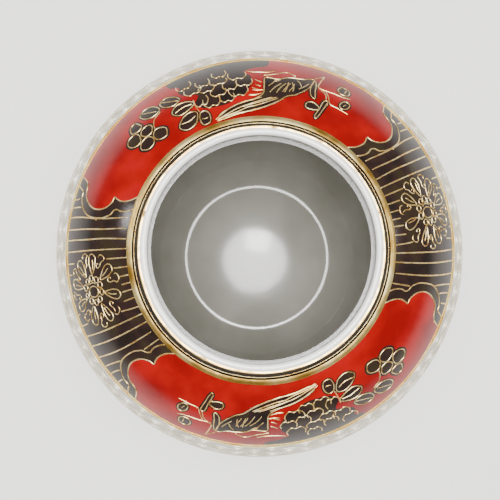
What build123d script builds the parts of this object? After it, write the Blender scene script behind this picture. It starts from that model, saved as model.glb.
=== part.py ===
from build123d import *

import os
from math import asin, cos, degrees, radians, sin, sqrt

os.makedirs("parts", exist_ok=True)

# A white porcelain jar, cased in thin brass that carries enamel between raised brass lines.
# The origin is the centre of the foot's rest face and +Z is up. +X and -X point at the two
# roundels, +Y at the back red panel and -Y at the front one.

# ---- body sizes (mm) ----
HEIGHT = 136.0
WIDEST_DIAMETER = 127.0
MOUTH_BORE = 59.0
NECK_WALL = 1.9
NECK_HEIGHT = 8.4  # from the shoulder's upper edge to the lip
SHOULDER_RADIUS = 47.0  # arc of the shoulder's outline
BELLY_RADIUS = 132.0  # arc of the outline below the widest level
BODY_WALL = 3.2
NECK_FILLET = 2.5
FLOOR_FILLET = 7.0

# ---- foot (mm) ----
FOOT_HEIGHT = 6.0
FOOT_RING_WIDTH = 5.0
BASE_RECESS = 3.5
FLOOR_THICKNESS = 5.0
FOOT_CHAMFER = 0.8
FOOT_BAND_LIFT = 1.0  # clear space between the brass foot band and the table

# ---- layers, as depths under the wires' tops (mm) ----
ENAMEL_SINK = 0.12
ENAMEL_THICKNESS = 0.5
CASING_THICKNESS = 0.6
CASING_TOP = ENAMEL_SINK + ENAMEL_THICKNESS
CASING_BOTTOM = CASING_TOP + CASING_THICKNESS
RING_PROUD = 0.15
WIRE_WIDTH = 0.55

# ---- neck sleeve (mm) ----
SLEEVE_BELOW_LIP = 1.1
SLEEVE_EDGE = 0.5  # thickness of the sleeve at its upper edge
NECK_BAND_RISE = 0.3  # black band's lower edge above the shoulder
NECK_BAND_WIDTH = 3.6
BEAD_WIDTH = 0.6
BEAD_PROUD = 0.3

# ---- leans: angle of the outline's outward normal from +Z (degrees) ----
SHOULDER_LEAN = 22.0
COLLAR_LEANS = (22.6, 24.6)
BELLY_RING_LEANS = (56.6, 58.0)
SEAM_LEAN = 57.3
WIDEST_LEAN = 90.0
SHOULDER_MIDDLE_LEAN = (SHOULDER_LEAN + WIDEST_LEAN) / 2
UPPER_BELLY_LEAN = (SEAM_LEAN + WIDEST_LEAN) / 2

# ---- panels (degrees) ----
PANEL_SPAN = 64.0  # half the azimuth that a panel's blank covers
GROUND_SPAN = 36.0  # half the azimuth that a ground's blank covers
FRONT_TURN = 183.5  # azimuth between the back panel's picture and the front one's
FRONT_DROP = 3.0  # how much further down the shoulder the front picture lies
CRUMB = 0.05  # mm3; cells smaller than this are closed up by the wires' solder
REACH = 9.0  # how far a drawing is carried through the layers, each way
END_REACH = 11.0  # how far a panel end's areas run past its outlines
QUARTER_TURN = 90.0

# ---- worked-out places ----
MOUTH_RADIUS = MOUTH_BORE / 2
NECK_OUTER = MOUTH_RADIUS + NECK_WALL
LIP_RADIUS = NECK_WALL / 2
SHOULDER_CENTRE_R = WIDEST_DIAMETER / 2 - SHOULDER_RADIUS
WIDEST_Z = HEIGHT - NECK_HEIGHT - SHOULDER_RADIUS * cos(radians(SHOULDER_LEAN))
BELLY_CENTRE_R = WIDEST_DIAMETER / 2 - BELLY_RADIUS
INNER_DEPTH = CASING_BOTTOM + BODY_WALL
FLOOR_Z = BASE_RECESS + FLOOR_THICKNESS
SLEEVE_TOP = HEIGHT - SLEEVE_BELOW_LIP


def shoulder_point(lean, depth=0.0):
    """Radius and height of the shoulder at a lean, at a depth under the wires' tops."""
    radius = SHOULDER_RADIUS - depth
    return (
        SHOULDER_CENTRE_R + radius * sin(radians(lean)),
        WIDEST_Z + radius * cos(radians(lean)),
    )


def belly_point(height, depth=0.0):
    """Radius and height of the outline below the widest level."""
    radius = BELLY_RADIUS - depth
    return (BELLY_CENTRE_R + sqrt(radius**2 - (WIDEST_Z - height) ** 2), height)


def lean_at_radius(r, depth):
    """Lean where the shoulder, at a depth, stands at a radius."""
    return degrees(asin((r - SHOULDER_CENTRE_R) / (SHOULDER_RADIUS - depth)))


SHOULDER_EDGE_R, SHOULDER_EDGE_Z = shoulder_point(SHOULDER_LEAN)
SLEEVE_TOP_R = NECK_OUTER + SLEEVE_EDGE
FLARE_DROP = SLEEVE_TOP - SHOULDER_EDGE_Z
FLARE_OUT = SHOULDER_EDGE_R - SLEEVE_TOP_R
FLARE_RADIUS = (FLARE_DROP**2 + FLARE_OUT**2) / (2 * FLARE_OUT)
NECK_BAND_BOTTOM = SHOULDER_EDGE_Z + NECK_BAND_RISE
NECK_BAND_TOP = NECK_BAND_BOTTOM + NECK_BAND_WIDTH


def neck_point(height, depth=0.0):
    """Radius and height on the neck's hollow flare, upright at the sleeve's upper edge."""
    drop = SLEEVE_TOP - height
    return (SLEEVE_TOP_R + FLARE_RADIUS - sqrt(FLARE_RADIUS**2 - drop**2) - depth, height)


def keep(node, name):
    """Name a finished sub-part, leave out any crumb of it, and write it."""
    whole = Compound([solid for solid in node.part.solids() if solid.volume > CRUMB])
    whole.label = name
    export_step(whole, f"parts/{name}.step")


def shoulder_layer(outer, inner, start, end, turn=0.0, sweep=360.0):
    """A layer of the shoulder between two depths and two leans, from azimuth turn on."""
    middle = (start + end) / 2
    across = (cos(radians(turn)), sin(radians(turn)), 0)
    meridian = Plane(origin=(0, 0, 0), x_dir=across, z_dir=(across[1], -across[0], 0))
    with BuildPart() as layer:
        with BuildSketch(meridian):
            with BuildLine():
                ThreePointArc(*[shoulder_point(lean, outer) for lean in (start, middle, end)])
                Line(shoulder_point(end, outer), shoulder_point(end, inner))
                ThreePointArc(*[shoulder_point(lean, inner) for lean in (end, middle, start)])
                Line(shoulder_point(start, inner), shoulder_point(start, outer))
            make_face()
        revolve(axis=Axis.Z, revolution_arc=sweep)
    return layer.part


def tangent_plane(azimuth, lean):
    """Plane that touches the shoulder: x runs with the azimuth and y up to the neck."""
    r, z = shoulder_point(lean)
    east, north = cos(radians(azimuth)), sin(radians(azimuth))
    return Plane(
        origin=(r * east, r * north, z),
        x_dir=(-north, east, 0),
        z_dir=(sin(radians(lean)) * east, sin(radians(lean)) * north, cos(radians(lean))),
    )


def drawn_on(plane, route, turn=0.0, drop=0.0):
    """A route of (azimuth, lean) points on the shoulder, seen square on the plane."""
    drawn = []
    for azimuth, lean in route:
        r, z = shoulder_point(lean + drop)
        angle = radians(azimuth + turn)
        local = plane.to_local_coords(Vector(r * cos(angle), r * sin(angle), z))
        drawn.append((local.X, local.Y))
    return drawn


def draw_route(route):
    """A straight line, an arc or a smooth curve through a route's points."""
    if len(route) == 2:
        return Edge.make_line(Vector(*route[0]), Vector(*route[1]))
    if len(route) == 3:
        return Edge.make_three_point_arc(*[Vector(*point) for point in route])
    return Edge.make_spline([Vector(*point) for point in route])


def filled_drawing(closed_lines, margin=0.0):
    """The areas inside closed lines, grown by a margin."""
    with BuildSketch() as drawing:
        for line in closed_lines:
            with BuildSketch(mode=Mode.PRIVATE) as area:
                with BuildLine():
                    Polyline(*line, close=True)
                make_face()
                if margin:
                    offset(amount=margin)
            add(area.sketch)
    return drawing.sketch


def straight_strokes(route):
    """A route of more than three points as straight pieces, so its wire has flat sides."""
    return [route] if len(route) <= 3 else list(zip(route, route[1:]))


def line_drawing(open_lines, closed_lines):
    """Strokes one wire wide along open lines and round closed ones."""
    with BuildSketch() as drawing:
        for line in closed_lines:
            with BuildSketch(mode=Mode.PRIVATE) as ring:
                add(filled_drawing([line], WIRE_WIDTH / 2))
                add(filled_drawing([line], -WIRE_WIDTH / 2), mode=Mode.SUBTRACT)
            add(ring.sketch)
        for line in open_lines:
            trace(draw_route(line), line_width=WIRE_WIDTH)
    return drawing.sketch


def side_area(chain, far_x):
    """The area between a chain of lines, run from the neck down, and an upright at far_x."""
    with BuildSketch() as area:
        with BuildLine():
            add([draw_route(route) for route in chain])
            Polyline(chain[-1][-1], (far_x, chain[-1][-1][1]), (far_x, chain[0][0][1]), chain[0][0])
        make_face()
    return area.sketch


# ---- porcelain body ----
NECK_ROOT_LEAN = lean_at_radius(NECK_OUTER, CASING_BOTTOM)
BORE_ROOT_LEAN = lean_at_radius(MOUTH_RADIUS, INNER_DEPTH)
FOOT_OUTER = belly_point(FOOT_HEIGHT, CASING_BOTTOM)[0]
MIDDLE_HEIGHT = (WIDEST_Z + FOOT_HEIGHT) / 2

with BuildPart() as porcelain_body:
    with BuildSketch(Plane.XZ) as half_section:
        with BuildLine():
            floor_corner = belly_point(FLOOR_Z, INNER_DEPTH)
            inside_widest = belly_point(WIDEST_Z, INNER_DEPTH)
            bore_root = shoulder_point(BORE_ROOT_LEAN, INNER_DEPTH)
            Line((0, FLOOR_Z), floor_corner)
            ThreePointArc(floor_corner, belly_point(MIDDLE_HEIGHT, INNER_DEPTH), inside_widest)
            ThreePointArc(inside_widest, shoulder_point(SHOULDER_MIDDLE_LEAN, INNER_DEPTH), bore_root)
            Line(bore_root, (MOUTH_RADIUS, HEIGHT - LIP_RADIUS))
            ThreePointArc(
                (MOUTH_RADIUS, HEIGHT - LIP_RADIUS),
                (MOUTH_RADIUS + LIP_RADIUS, HEIGHT),
                (NECK_OUTER, HEIGHT - LIP_RADIUS),
            )
            neck_root = shoulder_point(NECK_ROOT_LEAN, CASING_BOTTOM)
            outside_widest = belly_point(WIDEST_Z, CASING_BOTTOM)
            foot_top = belly_point(FOOT_HEIGHT, CASING_BOTTOM)
            Line((NECK_OUTER, HEIGHT - LIP_RADIUS), neck_root)
            ThreePointArc(neck_root, shoulder_point(SHOULDER_MIDDLE_LEAN, CASING_BOTTOM), outside_widest)
            ThreePointArc(outside_widest, belly_point(MIDDLE_HEIGHT, CASING_BOTTOM), foot_top)
            Polyline(
                foot_top,
                (FOOT_OUTER, 0),
                (FOOT_OUTER - FOOT_RING_WIDTH, 0),
                (FOOT_OUTER - FOOT_RING_WIDTH, BASE_RECESS),
                (0, BASE_RECESS),
                (0, FLOOR_Z),
            )
        make_face()
        fillet(half_section.vertices().sort_by_distance(floor_corner)[0], FLOOR_FILLET)
        fillet(half_section.vertices().sort_by_distance(bore_root)[0], NECK_FILLET)
        fillet(half_section.vertices().sort_by_distance(neck_root)[0], NECK_FILLET)
        chamfer(half_section.vertices().sort_by_distance((FOOT_OUTER, 0))[0], FOOT_CHAMFER)
        chamfer(
            half_section.vertices().sort_by_distance((FOOT_OUTER - FOOT_RING_WIDTH, 0))[0],
            FOOT_CHAMFER,
        )
    revolve(axis=Axis.Z)
keep(porcelain_body, "porcelain_body")

# ---- brass casing ----
with BuildPart() as shoulder_casing:
    add(shoulder_layer(CASING_TOP, CASING_BOTTOM, SHOULDER_LEAN, SEAM_LEAN))
keep(shoulder_casing, "shoulder_casing")

with BuildPart() as belly_casing:
    with BuildSketch(Plane.XZ):
        with BuildLine():
            outer_foot = belly_point(FOOT_HEIGHT, CASING_TOP)
            inner_foot = belly_point(FOOT_HEIGHT, CASING_BOTTOM)
            outer_widest = belly_point(WIDEST_Z, CASING_TOP)
            inner_widest = belly_point(WIDEST_Z, CASING_BOTTOM)
            outer_seam = shoulder_point(SEAM_LEAN, CASING_TOP)
            inner_seam = shoulder_point(SEAM_LEAN, CASING_BOTTOM)
            Line(inner_seam, outer_seam)
            ThreePointArc(outer_seam, shoulder_point(UPPER_BELLY_LEAN, CASING_TOP), outer_widest)
            ThreePointArc(outer_widest, belly_point(MIDDLE_HEIGHT, CASING_TOP), outer_foot)
            Line(outer_foot, inner_foot)
            ThreePointArc(inner_foot, belly_point(MIDDLE_HEIGHT, CASING_BOTTOM), inner_widest)
            ThreePointArc(inner_widest, shoulder_point(UPPER_BELLY_LEAN, CASING_BOTTOM), inner_seam)
        make_face()
    revolve(axis=Axis.Z)
keep(belly_casing, "belly_casing")

with BuildPart() as neck_sleeve:
    with BuildSketch(Plane.XZ) as sleeve_section:
        with BuildLine():
            shoulder_joint = shoulder_point(SHOULDER_LEAN, CASING_BOTTOM)
            Line((MOUTH_RADIUS + LIP_RADIUS, SLEEVE_TOP), (SLEEVE_TOP_R, SLEEVE_TOP))
            ThreePointArc(
                (SLEEVE_TOP_R, SLEEVE_TOP),
                neck_point((SLEEVE_TOP + SHOULDER_EDGE_Z) / 2),
                (SHOULDER_EDGE_R, SHOULDER_EDGE_Z),
            )
            Polyline(
                (SHOULDER_EDGE_R, SHOULDER_EDGE_Z),
                shoulder_joint,
                (MOUTH_RADIUS + LIP_RADIUS, shoulder_joint[1]),
                (MOUTH_RADIUS + LIP_RADIUS, SLEEVE_TOP),
            )
        make_face()
        with BuildLine():
            Polyline(
                neck_point(NECK_BAND_BOTTOM, ENAMEL_THICKNESS),
                neck_point(NECK_BAND_TOP, ENAMEL_THICKNESS),
                neck_point(NECK_BAND_TOP),
                neck_point(NECK_BAND_BOTTOM),
                close=True,
            )
        make_face(mode=Mode.SUBTRACT)
    revolve(axis=Axis.Z)
    add(porcelain_body.part, mode=Mode.SUBTRACT)
keep(neck_sleeve, "neck_sleeve")

with BuildPart() as neck_enamel_band:
    with BuildSketch(Plane.XZ):
        with BuildLine():
            Polyline(
                neck_point(NECK_BAND_BOTTOM, ENAMEL_THICKNESS),
                neck_point(NECK_BAND_TOP, ENAMEL_THICKNESS),
                neck_point(NECK_BAND_TOP),
                neck_point(NECK_BAND_BOTTOM),
                close=True,
            )
        make_face()
    revolve(axis=Axis.Z)
keep(neck_enamel_band, "neck_enamel_band")

BEAD_TOP = NECK_BAND_TOP + BEAD_WIDTH
with BuildPart() as neck_bead:
    with BuildSketch(Plane.XZ):
        with BuildLine():
            Polyline(
                neck_point(NECK_BAND_TOP),
                neck_point(NECK_BAND_TOP, -BEAD_PROUD),
                neck_point(BEAD_TOP, -BEAD_PROUD),
                neck_point(BEAD_TOP),
                close=True,
            )
        make_face()
    revolve(axis=Axis.Z)
keep(neck_bead, "neck_bead")

with BuildPart() as collar_ring:
    add(shoulder_layer(-RING_PROUD, CASING_TOP, *COLLAR_LEANS))
keep(collar_ring, "collar_ring")

with BuildPart() as belly_ring:
    add(shoulder_layer(-RING_PROUD, CASING_TOP, *BELLY_RING_LEANS))
keep(belly_ring, "belly_ring")

with BuildPart() as belly_enamel:
    with BuildSketch(Plane.XZ):
        with BuildLine():
            low_outer = belly_point(FOOT_HEIGHT)
            low_inner = belly_point(FOOT_HEIGHT, CASING_TOP)
            wide_outer = belly_point(WIDEST_Z)
            wide_inner = belly_point(WIDEST_Z, CASING_TOP)
            high_outer = shoulder_point(BELLY_RING_LEANS[1])
            high_inner = shoulder_point(BELLY_RING_LEANS[1], CASING_TOP)
            Line(high_inner, high_outer)
            ThreePointArc(high_outer, shoulder_point(UPPER_BELLY_LEAN), wide_outer)
            ThreePointArc(wide_outer, belly_point(MIDDLE_HEIGHT), low_outer)
            Line(low_outer, low_inner)
            ThreePointArc(low_inner, belly_point(MIDDLE_HEIGHT, CASING_TOP), wide_inner)
            ThreePointArc(wide_inner, shoulder_point(UPPER_BELLY_LEAN, CASING_TOP), high_inner)
        make_face()
    revolve(axis=Axis.Z)
keep(belly_enamel, "belly_enamel")

with BuildPart() as foot_band:
    with BuildSketch(Plane.XZ):
        with BuildLine():
            Polyline(
                (FOOT_OUTER, FOOT_BAND_LIFT),
                (FOOT_OUTER + CASING_THICKNESS, FOOT_BAND_LIFT),
                (belly_point(FOOT_HEIGHT)[0] + RING_PROUD, FOOT_HEIGHT),
                (FOOT_OUTER, FOOT_HEIGHT),
                close=True,
            )
        make_face()
    revolve(axis=Axis.Z)
keep(foot_band, "foot_band")

# ---- enamel and wire layers of the shoulder ----
FIELD_LEANS = (COLLAR_LEANS[1], BELLY_RING_LEANS[0])
wire_layer = shoulder_layer(0, CASING_TOP, *FIELD_LEANS)
enamel_layer = shoulder_layer(ENAMEL_SINK, CASING_TOP, *FIELD_LEANS)

# ---- ornament: every route is a list of (azimuth, lean) points on the shoulder ----

# The panels' cusped ends, at the end nearer azimuth 0 of the back panel.
INNER_OUTLINE = (
    [(37.6, 23.9), (34.2, 26.8), (32.8, 29.6), (32.9, 32.0), (33.8, 33.5)],
    [
        (33.8, 33.5),
        (31.3, 34.0),
        (28.9, 35.9),
        (27.7, 38.8),
        (27.6, 42),
        (28.7, 45.2),
        (31, 48.4),
        (34.8, 50),
    ],
    [(34.8, 50), (35.5, 52.2), (36.6, 57.4)],
)
OUTER_OUTLINE = (
    [(31.9, 23.9), (29.6, 26.6), (28.9, 29.0), (29.4, 31.8)],
    [(29.4, 31.8), (27, 32.8)],
    [(27, 32.8), (25.2, 35.8), (24.6, 39.8), (24.8, 43.8), (26.2, 47), (29.6, 50.9)],
    [(29.6, 50.9), (32, 51.4)],
    [(32, 51.4), (32.6, 53.4), (33.8, 57.4)],
)
OUTLINE_CENTRE = (31.0, 41.0)

# Stripes on each side of a roundel's meridian, from the shoulder's upper edge to the belly ring.
# The inner ones stop where they meet the roundel.
LONG_STRIPES = (
    [(14.2, 24.2), (13.7, 40), (12.9, 57)],
    [(18.7, 24.2), (17.9, 40), (16.0, 57)],
    [(23.2, 24.2), (21.7, 40), (19.6, 57)],
    [(27.7, 24.2), (27.1, 29), (26.8, 32.8)],
    [(24.7, 43.8), (23.8, 50), (23.1, 57)],
    [(26.6, 47.6), (26.1, 52), (25.8, 57)],
    [(29.6, 50.8), (29.4, 54), (29.2, 57)],
)
SHORT_STRIPE_AZIMUTHS = ((10.6, 9.3), (7.0, 6.1), (3.4, 3.0), (0.0, 0.0))

# A twig with two round buds, a knobbed stem and two narrow leaves.
TWIG = {
    "name": "branch",
    "centre": (51.5, 40.0),
    "wires": (
        [(43.7, 36.5), (48, 36.6), (51.4, 36.9), (52.6, 39.4), (54.6, 42.6)],
        [(53.0, 37.6), (54.0, 40.4), (56.6, 42.6)],
        [(45.7, 44.6), (48.2, 43.4), (51.5, 42.9), (57.0, 42.8), (57.0, 46.6), (56.2, 51.2)],
        [(59.2, 47.4), (57.6, 49), (56.4, 51.2)],
        [(48.5, 45.4), (48.4, 48.4)],
        [(46.9, 38.6), (46.2, 40.6)],
    ),
    "cells": (
        [(46.6, 37.4), (47.9, 37.9), (48.0, 40), (46.6, 42), (45.2, 41.4), (45.1, 39.2)],
        [(47.6, 45), (50.0, 44.8), (50.9, 46.9), (49.6, 49.2), (47.6, 48.7), (47.0, 46.8)],
        [(52.4, 37.4), (52.9, 32.6), (53.6, 29.2), (54.2, 28), (54.8, 28.8), (54.2, 32.4), (53.4, 37.4)],
        [(54.2, 32.5), (56.4, 31.3), (59.0, 31.2), (59.6, 32.5), (58.7, 34), (56.8, 34.4)],
        [(57.1, 36.4), (58.4, 37), (59.4, 39.6), (59.5, 43), (58.8, 46.2), (58.0, 43.6), (57.7, 40)],
    ),
    "grounds": (),
}

# A crested bird seen from the side, with fanned wing feathers and a long swept-back tail.
BIRD = {
    "name": "bird",
    "centre": (74.0, 37.0),
    "wires": (
        [(62.6, 40.4), (63.4, 42.2), (64.6, 43.5)],
        [(65.0, 41.4), (65.6, 38.8), (66.6, 36.6)],
        [(66.4, 41.2), (67.6, 38.8), (68.8, 36.0)],
        [(67.8, 40.8), (69.6, 38.2), (71.0, 35.2)],
        [(69.4, 40.4), (71.6, 38.0), (73.4, 35.2)],
        [(70.4, 33.2), (75.8, 31.0), (84.0, 29.0)],
        [(76.0, 34.8), (78.6, 34.0), (81.2, 34.2)],
        [(75.4, 36.2), (77.6, 36.4), (79.8, 37.6)],
        [(65.1, 45.8), (68.4, 47.4), (71.0, 45.8), (75.8, 44.2)],
        [(71.8, 47.4), (74.4, 46.4), (78.8, 46.6), (81.3, 47.6)],
    ),
    "cells": (
        [
            (59.3, 46.6),
            (59.8, 41.6),
            (61.4, 38.6),
            (64.4, 35.4),
            (66.9, 34.2),
            (70.6, 31),
            (74.8, 28.8),
            (79.8, 27.3),
            (87, 26.2),
            (93.6, 25.7),
            (94.2, 27.0),
            (87, 30.0),
            (79, 32.2),
            (75.9, 34.4),
            (75.4, 39),
            (75, 43),
            (70.8, 42.4),
            (67.6, 44.2),
            (62.6, 45),
        ],
    ),
    "grounds": (),
}

# A full blossom of rounded petals over a plain dark mound.
PEONY = {
    "name": "peony",
    "centre": (91.0, 42.0),
    "wires": (
        [(81.3, 37.6), (82.4, 34.2), (86.2, 34.4)],
        [(86.4, 35.0), (88.6, 31.4), (91.6, 33.0)],
        [(91.6, 33.4), (93.8, 31.2), (96.3, 33.6)],
        [(96.2, 35.6), (98.6, 32.6), (100.8, 36.0), (97.8, 39.9)],
        [(83.8, 38.2), (85.4, 35.2), (88.2, 35.6)],
        [(88.2, 37.0), (90.2, 33.8), (93.3, 35.8)],
        [(80.4, 38.6), (79.1, 42.2), (82.2, 44.4)],
        [(83.0, 43.4), (84.0, 38.8), (86.4, 38.6)],
        [(82.6, 43.6), (85.0, 44.6), (87.6, 43.2)],
        [(92.2, 42.0), (96.8, 46.0), (101.7, 42.2), (97.9, 40.3)],
        [(101.7, 42.4), (104.4, 44.4), (102.8, 48.6)],
        [(87.9, 42.8), (87.8, 46), (87.2, 49.2)],
        [(82.5, 44.6), (82.0, 47), (81.8, 50)],
        [(95.2, 45.8), (94.8, 47.6), (94.0, 50)],
    ),
    "cells": (
        [(91.4, 38.6), (93.6, 36.2), (96.3, 38.2), (95.2, 41), (92.6, 41.2)],
        [(86.2, 39.6), (88.4, 37.4), (91.0, 39), (90.4, 42), (87.4, 42.4)],
    ),
    "grounds": (
        [
            (80.2, 44.6),
            (79.2, 41),
            (81.0, 37),
            (83.0, 34.2),
            (86.0, 33.8),
            (89.0, 31.6),
            (93.8, 31.4),
            (98.4, 32.6),
            (100.6, 36),
            (98.6, 39.8),
            (102.6, 42.4),
            (104.2, 45.4),
            (103.2, 48.6),
            (105.6, 51),
            (105.4, 58),
            (90.0, 60),
            (75.0, 58),
            (74.6, 51),
            (79.0, 49.4),
            (82.0, 47),
        ],
    ),
}

# Five pointed leaves round the blossom's stem.
LEAVES = {
    "name": "leaf",
    "centre": (106.0, 37.0),
    "wires": (
        [(100.8, 38.4), (100.9, 34.6), (100.6, 31.8)],
        [(98.0, 28.4), (99.4, 28.2), (100.8, 28.8)],
        [(102.4, 31.2), (105.4, 30.2), (109.2, 30.8)],
        [(101.6, 36.8), (105.2, 37.2), (108.9, 36.6)],
        [(105.4, 41.8), (108.2, 43.6), (110.6, 46.0)],
        [(113.4, 43.2), (115.6, 45.2), (117.6, 47.6)],
    ),
    "cells": (
        [(97.3, 29.2), (98.2, 26.2), (101.0, 26.0), (101.6, 28.4), (100.2, 31.4), (98.4, 31.4)],
        [(101.5, 32.2), (103.8, 28), (108.2, 27.4), (110.2, 29.6), (108, 32.2), (104, 33.6)],
        [(101.0, 36.9), (104, 34.8), (107.6, 34.6), (109.6, 37), (107.2, 39.6), (103.6, 39.2)],
        [(104.8, 42), (107.4, 40.6), (110.4, 42.2), (111.2, 45.4), (109.4, 46.8), (106.6, 45.4)],
        [(112.2, 43), (115.4, 42), (118.0, 44), (118.6, 47), (116.4, 48.6), (113.6, 47.2)],
    ),
    "grounds": (),
}

# A small open flower of five petals on a bent stem.
FLOWER = {
    "name": "flower",
    "centre": (120.0, 37.5),
    "wires": ([(112.2, 41.8), (115.2, 40.6), (117.0, 38.4), (117.6, 36.4)],),
    "cells": (
        [(114.4, 33.2), (116.0, 30.6), (119.4, 31.6), (119.8, 34.2), (117.8, 35.9), (115.6, 35)],
        [(120.4, 33.4), (121.6, 31.8), (124.6, 31.6), (126.4, 34), (124.6, 36), (121.6, 36)],
        [(117.8, 38.4), (119.4, 36.2), (121.8, 36.6), (122.6, 39), (120.6, 40.6), (118.4, 40)],
        [(123.2, 39.2), (124.8, 36.6), (127.6, 37.4), (128.4, 40), (126.4, 42), (123.8, 41.4)],
        [(120.4, 42), (122.6, 41.4), (124.4, 43), (123.2, 46), (121.4, 46), (120.6, 44)],
    ),
    "grounds": (),
}

MOTIFS = (TWIG, BIRD, PEONY, LEAVES, FLOWER)

# Roundel, in mm on the plane that touches the shoulder at its centre.
ROUNDEL_LEAN = 41.5
ROUNDEL_RADIUS = 10.6
HEART_RADII = (1.6, 2.0)
BUD_COUNT = 10
BUD_RADIUS = 1.0
BUD_RING = 3.5
PETAL_COUNT = 16
PETAL_STEP = 360 / PETAL_COUNT
PETAL_ROOT = BUD_RING + BUD_RADIUS
LOBE_CUSP = 9.4
CURL_CENTRE = 7.2
CURL_RADIUS = 0.9


def polar(radius, angle):
    """A point on the roundel's own plane."""
    return (radius * cos(radians(angle)), radius * sin(radians(angle)))


def roundel_drawing():
    """A roundel's lines: heart, ring of buds, petal walls, scalloped edge and curls."""
    half = WIRE_WIDTH / 2
    with BuildSketch() as drawing:
        Ellipse(HEART_RADII[0] + half, HEART_RADII[1] + half)
        Ellipse(HEART_RADII[0] - half, HEART_RADII[1] - half, mode=Mode.SUBTRACT)
        with BuildSketch(mode=Mode.PRIVATE) as bud_ring:
            Circle(PETAL_ROOT + half)
            Circle(PETAL_ROOT - half, mode=Mode.SUBTRACT)
            with PolarLocations(BUD_RING, BUD_COUNT):
                Circle(BUD_RADIUS + half)
            with PolarLocations(BUD_RING, BUD_COUNT):
                Circle(BUD_RADIUS - half, mode=Mode.SUBTRACT)
        add(bud_ring.sketch)
        for petal in range(PETAL_COUNT):
            start, middle, end = (petal * PETAL_STEP + part * PETAL_STEP for part in (0, 0.5, 1))
            trace(draw_route([polar(PETAL_ROOT, start), polar(LOBE_CUSP, start)]), WIRE_WIDTH)
            lobe = [polar(LOBE_CUSP, start), polar(ROUNDEL_RADIUS, middle), polar(LOBE_CUSP, end)]
            trace(draw_route(lobe), WIRE_WIDTH)
            if petal % 2:
                x, y = polar(CURL_CENTRE, middle)
                swings = [polar(CURL_RADIUS, middle + swing) for swing in (-90, 0, 90)]
                trace(draw_route([(x + dx, y + dy) for dx, dy in swings]), WIRE_WIDTH)
    return drawing.sketch


def edge_lean(azimuth, side):
    """Lean where a stripe at an azimuth from the roundel's centre meets the roundel."""
    across = radians(azimuth) * shoulder_point(ROUNDEL_LEAN)[0]
    reach = sqrt((LOBE_CUSP + WIRE_WIDTH) ** 2 - min(across, LOBE_CUSP) ** 2)
    return ROUNDEL_LEAN + side * degrees(reach / SHOULDER_RADIUS)



def mirrored(chain, turn, hand):
    """A chain of routes carried to the panel end on one hand of a roundel's meridian."""
    return [[(turn + hand * azimuth, lean) for azimuth, lean in route] for route in chain]


def carried(plane, drawing, layer):
    """The pieces of a layer that lie under a drawing on a plane."""
    with BuildPart() as piece:
        with BuildSketch(plane):
            add(drawing)
        extrude(amount=REACH, both=True)
        add(layer, mode=Mode.INTERSECT)
    return piece.part


def combined(first, *others, mode=Mode.ADD):
    """One drawing with others added to it or taken from it."""
    with BuildSketch() as drawing:
        add(first)
        for other in others:
            add(other, mode=mode)
    return drawing.sketch


def panel_end(turn, hand):
    """A panel end's plane, and on it the outlines' lines, border band and both sides' areas."""
    plane = tangent_plane(turn + hand * OUTLINE_CENTRE[0], OUTLINE_CENTRE[1])
    inner, outer = (
        [drawn_on(plane, route) for route in mirrored(chain, turn, hand)]
        for chain in (INNER_OUTLINE, OUTER_OUTLINE)
    )
    inner_lines = line_drawing(inner, [])
    outer_lines = line_drawing(outer, [])
    past_outer = side_area(outer, hand * END_REACH)
    past_inner = side_area(inner, hand * END_REACH)
    return {
        "plane": plane,
        "inner": inner_lines,
        "outer": outer_lines,
        "band": combined(past_outer, past_inner, inner_lines, outer_lines, mode=Mode.SUBTRACT),
        "panel_side": combined(past_outer, outer_lines),
        "ground_side": combined(side_area(inner, -hand * END_REACH), inner_lines),
    }


ENDS = {(turn, hand): panel_end(turn, hand) for turn in (0.0, 180.0) for hand in (1, -1)}

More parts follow.
